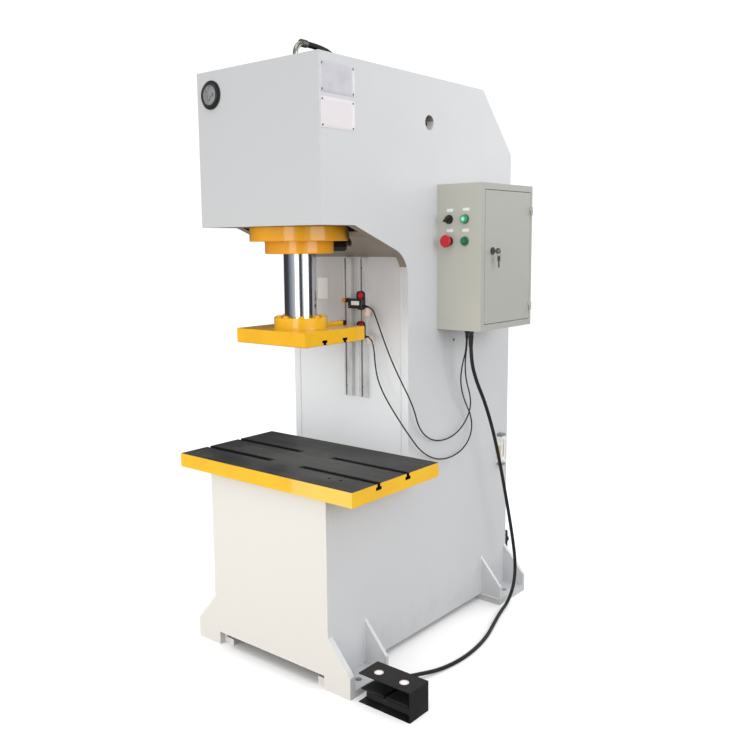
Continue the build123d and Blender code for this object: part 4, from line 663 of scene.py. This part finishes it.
def skin(name, points, finish, body, around=True, weld=1e-5, capped=False):
    """A mesh over a stack of grids, shaped (copies, rows, columns, 3): every cell of a grid is one
    face, the last column joins the first where the grid goes around, rows that shrink to a point
    are welded there, and open ends are filled where asked."""
    points = np.asarray(points, float)
    if points.ndim == 3:
        points = points[None]
    copies, rows, columns = points.shape[:3]
    spans = columns if around else columns - 1
    copy, row, column = np.meshgrid(
        np.arange(copies), np.arange(rows - 1), np.arange(spans), indexing="ij"
    )
    following = (column + 1) % columns
    here = (copy * rows + row) * columns
    above = here + columns
    corners = (here + column, here + following, above + following, above + column)
    faces = np.stack(corners, -1).reshape(-1, 4)
    mesh = bpy.data.meshes.new(name)
    mesh.from_pydata(points.reshape(-1, 3), [], faces)
    shape = bmesh.new()
    shape.from_mesh(mesh)
    bmesh.ops.remove_doubles(shape, verts=shape.verts, dist=weld)
    if capped:
        rims = [edge for edge in shape.edges if edge.is_boundary]
        bmesh.ops.holes_fill(shape, edges=rims, sides=0)
    bmesh.ops.recalc_face_normals(shape, faces=shape.faces)
    shape.to_mesh(mesh)
    shape.free()
    mesh.shade_smooth()
    piece = placed(name, mesh)
    wear(piece, finish)
    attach(piece, body)
    return piece


def frame_of(direction):
    """Three unit directions, the last along the given one."""
    out = np.asarray(direction, float)
    out = out / np.linalg.norm(out)
    side = np.cross((0.0, 0.0, 1.0), out) if abs(out[2]) < 0.9 else np.array((1.0, 0.0, 0.0))
    side = side / np.linalg.norm(side)
    return np.stack((side, np.cross(out, side), out))


def full_turn(count):
    return np.linspace(0.0, TURN, count, endpoint=False)


def circle(turn, side, across):
    """The unit ring's points at the given angles: cos along one direction, sin along another."""
    return np.cos(turn)[:, None] * side + np.sin(turn)[:, None] * across


def sharpen(piece, angle):
    """Keeps edges sharper than the angle crisp under smooth shading."""
    piece.data.set_sharp_from_angle(angle=math.radians(angle))
    return piece


def turned(name, profile, places, direction, finish, body, sides=40, angle=35.0):
    """Lathe work, one copy a place: each (radius, height) of the profile becomes a ring,
    radius times (cos, sin) across the axis and height along it."""
    profile = np.asarray(profile, float)
    places = np.atleast_2d(np.asarray(places, float))
    turn = full_turn(sides)
    side, across, out = frame_of(direction)
    ring = circle(turn, side, across)
    rings = profile[:, 0, None, None] * ring + profile[:, 1, None, None] * out
    return sharpen(skin(name, places[:, None, None] + rings, finish, body), angle)


def socket_screws(name, places, direction, radius, height, finish, body, button=False):
    """Screw heads with a hexagon socket: round rings up to the rim, then rings whose radius is
    the inner radius over cos(angle from the nearest flat) down to the socket's floor."""
    places = np.atleast_2d(np.asarray(places, float))
    turn = full_turn(48)
    key = radius * 0.52
    flat = key / np.cos((turn % (TURN / 6.0)) - TURN / 12.0)
    ones = np.ones_like(turn)
    if button:
        rise = np.linspace(0.0, 1.0, 7)
        dome = radius * np.sqrt(1.0 - (0.62 * rise) ** 2)
        rings = [(r * ones, height * h) for r, h in zip(dome, np.sin(rise * math.pi / 2.0))]
    else:
        edge = radius * 0.09
        rings = [(radius * ones, 0.0), (radius * ones, height - edge)]
        rings += [((radius - edge) * ones, height)]
    rings += [(flat * 1.08, height), (flat, height - radius * 0.07), (flat, height * 0.35)]
    rings += [(0.0 * ones, height * 0.3)]
    radii = np.array([r for r, h in rings])
    heights = np.array([h for r, h in rings])
    side, across, out = frame_of(direction)
    ring = circle(turn, side, across)
    grid = radii[..., None] * ring + heights[:, None, None] * out
    return sharpen(skin(name, places[:, None, None] + grid, finish, body), 30.0)


def slab(name, middle, width_way, height_way, size, thickness, corner, finish, body):
    """A thin rounded plate: its outline is four quarter circles, each (corner centre + radius *
    (cos, sin)), carried up in rings, in over a small round edge, and in to the middle."""
    width_way, height_way = np.asarray(width_way, float), np.asarray(height_way, float)
    out = np.cross(width_way, height_way)
    turn = full_turn(48)
    quarter = np.floor(turn / (TURN / 4.0))
    middle_x = (size[0] / 2.0 - corner) * np.where((quarter == 0) | (quarter == 3), 1.0, -1.0)
    middle_y = (size[1] / 2.0 - corner) * np.where(quarter < 2, 1.0, -1.0)
    edge = min(thickness, corner) * 0.5
    insets = np.array([0.0, 0.0, edge * 0.3, edge])
    lifts = np.array([0.0, thickness - edge, thickness - edge * 0.3, thickness])
    x = middle_x + (corner - insets[:, None]) * np.cos(turn)
    y = middle_y + (corner - insets[:, None]) * np.sin(turn)
    inner = np.array([0.75, 0.4, 0.0])[:, None]
    x = np.vstack((0.0 * x[:1], x, x[-1] * inner))
    y = np.vstack((0.0 * y[:1], y, y[-1] * inner))
    lifts = np.concatenate(([0.0], lifts, np.full(3, thickness)))
    grid = np.asarray(middle, float) + x[..., None] * width_way + y[..., None] * height_way
    grid = grid + lifts[:, None, None] * out
    return sharpen(skin(name, grid, finish, body), 40.0)


def weld_bead(name, start, end, radius):
    """A fillet weld laid from start to end: a tube whose radius swells and shrinks with a sine
    of the distance run, once a ripple, and whose line wanders a little."""
    ripple_length, step = 0.0052, 0.0016
    start, end = np.asarray(start, float), np.asarray(end, float)
    length = np.linalg.norm(end - start)
    run = np.linspace(0.0, 1.0, max(int(length / step), 12))
    side, across = frame_of(end - start)[:2]
    turn = full_turn(12)
    ripple = radius * (1.0 + 0.13 * np.sin(run * length / ripple_length * TURN))
    taper = np.sqrt(np.clip(np.minimum(run, 1.0 - run) * length / radius, 0.0, 1.0))
    wander = 0.16 * radius * np.sin(run * length * 55.0 + start.sum() * 31.0)
    ring = circle(turn, side, across)
    line = start + run[:, None] * (end - start) + wander[:, None] * side
    grid = line[:, None] + (ripple * taper)[:, None, None] * ring
    return skin(name, grid, "bead", "frame", weld=1e-6)


def bars(name, starts, ends, width, height, up, finish, body):
    """Many small bars at once: a half-round section, (cos, sin) of half a turn, carried from each
    start to each end and closed by its shrunken copies."""
    starts, ends = np.atleast_2d(starts).astype(float), np.atleast_2d(ends).astype(float)
    along = ends - starts
    up = np.broadcast_to(np.asarray(up, float), along.shape)
    across = np.cross(along, up)
    across = across / np.linalg.norm(across, axis=1, keepdims=True)
    half = np.concatenate((np.linspace(0.0, math.pi, 9), [math.pi * 1.25, math.pi * 1.75]))
    reach, lift = np.cos(half) * width / 2.0, np.maximum(np.sin(half), 0.0) * height
    steps = np.array([0.0, 0.0, 1.0, 1.0])
    scale = np.array([0.0, 1.0, 1.0, 0.0])
    grid = starts[:, None, None] + steps[None, :, None, None] * along[:, None, None]
    section = reach[:, None] * across[:, None, None] + lift[:, None] * up[:, None, None]
    grid = grid + scale[None, :, None, None] * section
    return sharpen(skin(name, grid, finish, body, weld=1e-7), 50.0)


# Forms that the photo shows and the solids lack

def lock_nut():
    """The round nut under the head: its section carried round the ram, at (radius * cos, radius *
    sin), with the rim cut back between the sides of two spanner slots in the rear."""
    outer, inner, depth = 0.1525, 0.1065, 0.008
    low, high, bevel, slot_width = 1.323, 1.367, 0.002, 0.014
    half = math.asin(slot_width / 2.0 / outer)
    slots = np.radians((75.0, 165.0))
    edges = (slots[:, None] + np.array((-half, -half + 1e-4, half - 1e-4, half))).ravel()
    turn = np.sort(np.concatenate((full_turn(176), edges)))
    cut = (np.abs(turn[:, None] - slots) < half - 5e-5).any(1)
    profile = np.array([
        (inner, low), (outer - bevel, low), (outer, low + bevel), (outer, high - bevel),
        (outer - bevel, high), (inner, high), (inner, low),
    ])
    radius = np.where(cut & (profile[:, :1] > inner), outer - depth, profile[:, :1] + 0.0 * turn)
    height = profile[:, 1:] + 0.0 * turn
    grid = np.stack((radius * np.cos(turn), AXIS + radius * np.sin(turn), height), -1)
    return sharpen(skin("lock_nut", grid, "yellow", "frame"), 25.0)


def throat_skin():
    """The column's front and the slant as one folded plate: a section of six points carried from
    side to side. Its front edge follows (sin, cos) round the lock nut and is straight beside it.
    The slant falls by drop for each metre behind its start, and is rise thick along Z."""
    low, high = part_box("throat_plate")
    start_y, start_z, drop, rise = -0.362, 1.367, 0.3751, 0.01709
    front, wall, fold_front, fold_rear = -0.272, 0.016, 1.2715, 1.2826
    limit = math.acos((front - AXIS) / RELIEF)
    turn = np.linspace(-limit, limit, 73)
    x = np.concatenate(([low.x], RELIEF * np.sin(turn), [high.x]))
    edge = np.concatenate(([front], AXIS + RELIEF * np.cos(turn), [front]))
    slope = start_z - drop * (edge - start_y)
    same = np.ones_like(x)
    section = [
        (edge, slope), (COLUMN * same, fold_front * same), (COLUMN * same, low.z * same),
        ((COLUMN + wall) * same, low.z * same), ((COLUMN + wall) * same, fold_rear * same),
        (edge, slope + rise),
    ]
    grid = np.stack([np.stack((x, y, z), -1) for y, z in section], 1)
    return sharpen(skin("throat_skin", grid, "frame", "frame", capped=True), 20.0)


def clamp_knob(name, node, body):
    """A fluted knob: its radius swells and shrinks with the cosine of ten times the angle."""
    reach, swell, flutes = 0.0108, 0.045, 10.0
    low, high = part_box(node)
    turn = full_turn(80)
    profile = np.array([
        (0.0, 0.0), (0.9, 0.0), (1.0, 0.0015), (1.0, 0.011), (0.93, 0.013), (0.0, 0.0135),
    ])
    radius = reach * profile[:, :1] * (1.0 + swell * np.cos(flutes * turn))
    middle = (low + high) / 2.0
    depth = high.y - profile[:, 1:] + 0.0 * turn
    grid = np.stack((middle.x + radius * np.cos(turn), depth, middle.z + radius * np.sin(turn)), -1)
    piece = sharpen(skin(name, grid, "red", body), 40.0)
    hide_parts(node)


def bolt_circle(radius, height, first=0.0):
    """Eight places round the ram: radius times (cos, sin), from the first angle on."""
    turn = full_turn(8) + first
    return np.stack((radius * np.cos(turn), AXIS + radius * np.sin(turn), np.full(8, height)), 1)


for number, height in enumerate(SENSOR_HEIGHTS.values()):
    low, high = height - 0.0205, height + 0.0405
    sheet = slab(f"sensor_bracket_{number}", (0.0700, -0.1221, (low + high) / 2.0), RIGHT,
                 UP, (0.036, high - low), 0.0029, 0.012, "black_steel", "frame")
    if number == 0:
        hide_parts("switch_brackets")
nut = lock_nut()
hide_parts("lock_ring")
plate = throat_skin()
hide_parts("throat_plate")
clamp_knob("upper_clamp_knob", "upper_knob", "knob_upper")
clamp_knob("lower_clamp_knob", "lower_knob", "knob_lower")
flange_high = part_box("ram_flange")[1]
rod_radius = 0.0501
flange_spots = bolt_circle(0.5 * (flange_high.x + rod_radius), flange_high.z)
heads = socket_screws("flange_screw_heads", flange_spots, UP, 0.009, 0.0048, "ram_yellow", "ram")
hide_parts("flange_screws")


# Data plates and labels

def riveted_plate(name, height, size, finish):
    """A plate on the right side of the head, with a domed rivet in each corner."""
    tin, rivet = 0.0008, 0.0031
    middle = np.array((SIDE, -0.4278, height))
    slab(name, middle, (0, 1, 0), UP, size, tin, 0.003, finish, "frame")
    signs = np.array([(-1, -1), (1, -1), (1, 1), (-1, 1)], float)
    reach = signs * (np.array(size) / 2.0 - 0.0065)
    places = middle + np.column_stack((np.zeros(4), reach))
    dome = np.linspace(0.0, math.pi / 2.0, 6)
    profile = np.stack((rivet * np.cos(dome), tin + 0.0017 * np.sin(dome)), 1)
    profile = np.vstack(((rivet, 0.0), profile))
    turned(name + "_rivets", profile, places, RIGHT, "rivet", "frame", 16, 80.0)


riveted_plate("upper_data_plate", 1.7625, (0.1433, 0.081), "plate")
riveted_plate("lower_data_plate", 1.6689, (0.1415, 0.0817), "pale_plate")
slab("column_plate", (PLATE_X, COLUMN, PLATE_Z), RIGHT, UP, (0.051, 0.077), 0.0006,
     0.002, "framed_plate", "frame")
label_places = ((0.299, 1.4165), (0.360, 1.4180), (0.299, 1.3525), (0.358, 1.3530))
box_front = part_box("box_shell")[0].y
for number, (x, z) in enumerate(label_places):
    slab(f"control_label_{number}", (x, box_front, z), RIGHT, UP, (0.024, 0.0095),
         0.0006, 0.001, "label", "frame")


# Gauge dial: pressed floor, scale marks and figures

dial_back = np.array((GAUGE_X, FRONT + 0.006, GAUGE_Z))
card = 0.0007
turned("gauge_dial", [(0.0, 0.0), (0.0288, 0.0), (0.0288, 0.0005), (0.0272, card), (0.0, card)],
       dial_back, FORWARD, "dial", "frame", 64)
first_mark, sweep = 225.0, 270.0
marks = np.arange(61)
angle = np.radians(first_mark - marks * (sweep / 60.0))
spoke = np.stack((np.cos(angle), np.zeros(61), np.sin(angle)), 1)
inner = np.where(marks % 10 == 0, 0.0208, np.where(marks % 5 == 0, 0.0222, 0.0236))
dial_face = dial_back + np.array((0.0, -card, 0.0))
bars("gauge_marks", dial_face + spoke * inner[:, None], dial_face + spoke * 0.0258, 0.0007, 0.0001,
     FORWARD, "ink", "frame")


def lettering(name, words, middle, size):
    """Figures that face the front, made a mesh, then set flat on the dial."""
    curve = bpy.data.curves.new(name, "FONT")
    curve.body = words
    curve.size = size
    curve.align_x = "CENTER"
    curve.align_y = "CENTER"
    curve.extrude = 0.00006
    curve.resolution_u = 3
    text = placed(name + "_text", curve)
    bpy.context.view_layer.update()
    mesh = bpy.data.meshes.new_from_object(text)
    bpy.data.objects.remove(text)
    mesh.transform(Matrix.Translation(middle) @ Matrix.Rotation(math.radians(90.0), 4, "X"))
    piece = placed(name, mesh)
    wear(piece, "ink")
    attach(piece, "frame")


for step in range(7):
    turn = math.radians(first_mark - step * sweep / 6.0)
    spot = dial_face + 0.0172 * np.array((math.cos(turn), 0.0, math.sin(turn)))
    lettering(f"gauge_figure_{step}", str(step * 10), Vector(spot), 0.0052)
turned("gauge_needle_cap", [(0.0038, 0.0), (0.0038, 0.0012), (0.003, 0.002), (0.0, 0.0022)],
       (GAUGE_X, FRONT - 0.0002, GAUGE_Z), FORWARD, "bezel", "needle", 24)


# Screws

cover_low, cover_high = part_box("rear_cover")
cover_back, margin = 0.526, 0.014
heights = np.linspace(cover_low.z + margin, cover_high.z - margin, 5)
spots = [(x, cover_back, z) for x in (-0.232, 0.0, 0.232) for z in heights
         if x or z in (heights[0], heights[-1])]
socket_screws("cover_screws", spots, (0, 1, 0), 0.0055, 0.0035, "bright", "frame", True)
cap_spots = bolt_circle(0.090, 1.792, 0.2)
socket_screws("cap_screws", cap_spots, UP, 0.0105, 0.011, "black_steel", "frame")
rail_spots = [(x, -0.1122, z) for x in (0.004, 0.072) for z in (0.845, 1.235)]
socket_screws("rail_screws", rail_spots, FORWARD, 0.0048, 0.003, "black_steel", "frame")


# Cable ends: tapered, ribbed sleeves where a cable leaves a gland or the pedal, and wire tags

def sleeve(name, place, direction, thin, thick, length, ribs):
    """A strain relief: its radius falls evenly from thick to thin, less a groove wherever the
    sine of the distance is low."""
    run = np.linspace(0.0, 1.0, ribs * 10 + 1)
    groove = np.sin(run * ribs * TURN) < -0.2
    radius = thick + (thin - thick) * run - (thick - thin) * 0.28 * groove
    bore = thin * 0.9
    profile = np.vstack(((bore, 0.0), np.stack((radius, run * length), 1), (bore, length)))
    turned(name, profile, place, direction, "rubber", "frame", 28, 40.0)


sleeve("foot_lead_sleeve", (0.352, 0.098, 1.0140), DOWN, 0.0066, 0.0092, 0.038, 5)
sleeve("upper_lead_sleeve", (0.318, 0.129, 1.0140), DOWN, 0.0026, 0.0046, 0.016, 3)
sleeve("lower_lead_sleeve", (0.330, 0.106, 1.0140), DOWN, 0.0026, 0.0046, 0.016, 3)
sleeve("pedal_sleeve", (0.400, -0.3972, 0.027), (0, 1, 0), 0.0066, 0.0098, 0.036, 5)
sleeve("upper_sensor_sleeve", (0.096, -0.1325, 1.113), RIGHT, 0.0026, 0.0048, 0.014, 3)
sleeve("lower_sensor_sleeve", (0.096, -0.1325, 1.015), RIGHT, 0.0026, 0.0048, 0.014, 3)


def wire_tag(name, place, lean, size):
    """A paper tag folded round a lead: it leaves the lead as a flat flap that curls by a sine."""
    across = np.linspace(0.0, 1.0, 14)
    down = np.linspace(0.0, 1.0, 10)
    u, v = np.meshgrid(across, down, indexing="ij")
    curl = 0.10 * np.sin(u * math.pi * 0.8) + 0.05 * np.sin(v * 3.0)
    grid = np.stack((u * size[0], curl * size[0], -v * size[1]), -1)
    turn = Matrix.Rotation(lean, 3, "Y")
    grid = grid @ np.array(turn).T + np.asarray(place)
    piece = skin(name, grid, "tag", "frame", around=False)
    wall = piece.modifiers.new("wall", "SOLIDIFY")
    wall.thickness = 0.0004
    wall.offset = 0.0


wire_tag("upper_wire_tag", (0.104, -0.1360, 1.108), 0.35, (0.020, 0.026))
wire_tag("lower_wire_tag", (0.104, -0.1360, 1.012), -0.15, (0.024, 0.022))


# Sensor details: a printed field on each body and a signal lamp

sensor_face = -0.140
for name, height in SENSOR_HEIGHTS.items():
    slab(f"{name}_sensor_label", (0.060, sensor_face, height + 0.002), RIGHT, UP,
         (0.034, 0.013), 0.0004, 0.001, "label", "frame")
    turned(f"{name}_sensor_light",
           [(0.0022, 0.0), (0.0022, 0.0006), (0.0012, 0.0013), (0.0, 0.0015)],
           (0.036, sensor_face, height - 0.008), FORWARD, "red", "frame", 16)


# Pedal: two printed discs on the hood, rubber ribs on the treadles, screws in the end plate

for number, x in enumerate((DISC_LEFT, DISC_RIGHT)):
    turned(f"pedal_disc_{number}",
           [(0.0, 0.0), (0.0135, 0.0), (0.0135, 0.0004), (0.013, 0.0006), (0.0, 0.0006)],
           (x, DISC_Y, 0.090), UP, "disc", "frame", 48)
for body, node in (("pedal_left", "left_treadle"), ("pedal_right", "right_treadle")):
    low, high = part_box(node)
    rear_y, front_z, rear_z = -0.4175, 0.045, 0.041
    share = np.linspace(0.06, 0.78, 9)
    y = low.y + share * (rear_y - low.y)
    z = front_z + share * (rear_z - front_z)
    starts = np.stack((np.full(9, low.x + 0.004), y, z - 0.0002), 1)
    ends = starts + np.array((high.x - low.x - 0.008, 0.0, 0.0))
    bars(f"{node}_ribs", starts, ends, 0.0036, 0.0018, UP, "rubber", body)
socket_screws("pedal_end_screws", [(0.5385, y, 0.032) for y in (-0.470, -0.425)], RIGHT,
              0.0042, 0.0024, "bright", "frame", True)


# Weld beads where plates meet

gusset_faces = [FRONT + reach for reach in (0.168, 0.180, 0.840, 0.852)]
pad_weld = 0.0214
for side in (-1, 1):
    x = side * SIDE
    for number, y in enumerate(gusset_faces):
        weld_bead(f"gusset_weld_{side + 1}_{number}", (x, y, 0.0235), (x, y, 0.160), 0.0036)
        pad_start, pad_end = ((x + side * reach, y, pad_weld) for reach in (0.004, 0.080))
        weld_bead(f"pad_weld_{side + 1}_{number}", pad_start, pad_end, 0.0034)
    inner_x = side * 0.222  # in the corner of the column's front and the side plate
    weld_bead(f"column_weld_{side + 1}", (inner_x, COLUMN, 0.640), (inner_x, COLUMN, 1.255), 0.0016)
    weld_bead(f"base_weld_{side + 1}", (x, FRONT + 0.020, 0.17), (x, FRONT + 0.020, 0.588), 0.0012)
# A thin black disc on the side plate: painted shade standing in for a threaded plug hole.
turned("plug_hole_painted_shade", [(0.0045, 0.0), (0.0045, 0.0004), (0.0, 0.0004)],
       (SIDE, 0.1515, 0.989), RIGHT, "ink", "frame", 24)


# Camera, light and floor

camera_data = bpy.data.cameras.new("camera")
camera_data.lens = 41.94
camera_data.sensor_width = 36.0
camera_data.clip_end = 50.0
camera = placed("camera", camera_data)
camera_place = (1.8458, -2.2473, 1.3172)
pitch, yaw, roll = (math.radians(angle) for angle in (8.189, 39.648, -0.540))
level = math.cos(pitch)
ahead = Vector((-math.sin(yaw) * level, math.cos(yaw) * level, -math.sin(pitch)))
right = Vector((math.cos(yaw), math.sin(yaw), 0.0))
up = right.cross(ahead)
tilt, lean = math.cos(roll), math.sin(roll)
right, up = tilt * right + lean * up, -lean * right + tilt * up
axes = Matrix((right, up, -ahead)).transposed()
camera.matrix_world = Matrix.Translation(camera_place) @ axes.to_4x4()
bpy.context.scene.camera = camera


def lamp_panel(name, place, aim, size, power, shade):
    """A soft rectangular light that faces the point it aims at."""
    data = bpy.data.lights.new(name, "AREA")
    data.shape = "RECTANGLE"
    data.size, data.size_y = size
    data.energy = power
    data.color = shade
    lamp = placed(name, data)
    lamp.location = place
    lamp.rotation_euler = (Vector(aim) - Vector(place)).to_track_quat("-Z", "Y").to_euler()
    return lamp


warm, cool, neutral = (1.0, 0.96, 0.90), (0.93, 0.96, 1.0), (1.0, 1.0, 1.0)
lamp_panel("soft_front", (1.60, -4.50, 1.0), (0.0, -0.4, 0.8), (1.7, 2.2), 38.0,
           (1.0, 0.985, 0.96))
left = lamp_panel("soft_left", (-2.9, -3.6, 1.4), (0.0, -0.2, 0.9), (1.6, 2.4), 20.0,
                  (0.97, 0.985, 1.0))
left.visible_glossy = False
lamp_panel("soft_low_front", (-0.45, -2.0, 0.30), (0.0, -0.5, 0.32), (1.4, 0.6), 7.0, warm)
lamp_panel("soft_right", (4.2, -0.6, 1.9), (0.2, 0.1, 0.9), (2.6, 2.4), 56.0, cool)
lamp_panel("soft_top", (0.2, -0.8, 4.4), (0.0, 0.0, 0.8), (3.4, 3.4), 40.0, neutral)
lamp_panel("soft_rear", (1.2, 4.2, 2.4), (0.0, 0.2, 1.0), (2.6, 2.4), 50.0, neutral)

world = bpy.data.worlds.new("studio")
world.use_nodes = True
sky = world.node_tree.nodes["Background"]
sky.inputs["Color"].default_value = (1.0, 1.0, 1.0, 1.0)
sky.inputs["Strength"].default_value = 1.08
bpy.context.scene.world = world
bpy.context.scene.view_settings.view_transform = "Standard"


def stage_sheet(name, corners, faces, shade, seen_by):
    """A sheet of the studio, from its corners and faces, that only the named kinds of ray meet."""
    mesh = bpy.data.meshes.new(name)
    mesh.from_pydata(corners, [], faces)
    sheet = placed(name, mesh)
    paper = Finish(name + "_paper")
    matt = 0.85 + 0.1 * paper.speckle(3.0)
    paper.set(Base_Color=colour(*shade), Roughness=matt, Specular_IOR_Level=0.0)
    mesh.materials.append(paper.material)
    sheet.visible_camera = "camera" in seen_by
    sheet.visible_diffuse = "diffuse" in seen_by
    sheet.visible_glossy = "glossy" in seen_by
    sheet.visible_transmission = "camera" in seen_by
    sheet.visible_shadow = False


def upright(name, start, stop, reach, low, high, shade):
    """A glossy-only card that stands on an arc about the ram, between two bearings in degrees."""
    steps = max(int((stop - start) / 8.0), 1)
    bearing = np.radians(np.linspace(start, stop, steps + 1))
    line = np.stack((reach * np.cos(bearing), reach * np.sin(bearing) - 0.33), 1)
    posts = steps + 1
    rows = [np.column_stack((line, np.full(posts, z))) for z in (low, high)]
    faces = [(i, i + 1, posts + i + 1, posts + i) for i in range(steps)]
    stage_sheet(name, np.vstack(rows).tolist(), faces, shade, "glossy")


def level_sheet(name, half, height, shade, seen_by):
    """A square sheet of the studio, flat at one height."""
    corners = [(x * half, y * half, height) for x, y in ((-1, -1), (1, -1), (1, 1), (-1, 1))]
    stage_sheet(name, corners, [(0, 1, 2, 3)], shade, seen_by)


level_sheet("studio_floor", 30.0, 0.0, (0.95, 0.95, 0.95), "camera")
level_sheet("studio_ground", 30.0, -0.004, (0.30, 0.285, 0.27), "diffuse glossy")
level_sheet("studio_ceiling", 10.0, 6.0, (0.30, 0.30, 0.30), "glossy")
upright("studio_wall", -180.0, 180.0, 7.0, -0.5, 6.0, (0.07, 0.072, 0.08))
# First and last bearing, and the red and blue of each card
studio_cards = (
    (-142, -132, 0.10, 0.13), (-132, -122, 0.20, 0.26), (-122, -112, 0.32, 0.40),
    (-112, -103, 0.42, 0.52), (-103, -95, 0.52, 0.62), (-95, -84, 0.66, 0.74),
    (-84, -52, 0.95, 0.95), (-32, 17, 0.95, 0.95), (52, 70, 0.20, 0.21),
)
for number, (start, stop, red, blue) in enumerate(studio_cards):
    upright(f"studio_card_{number}", start, stop, 5.0, 0.1, 3.5, (red, (red + blue) / 2.0, blue))
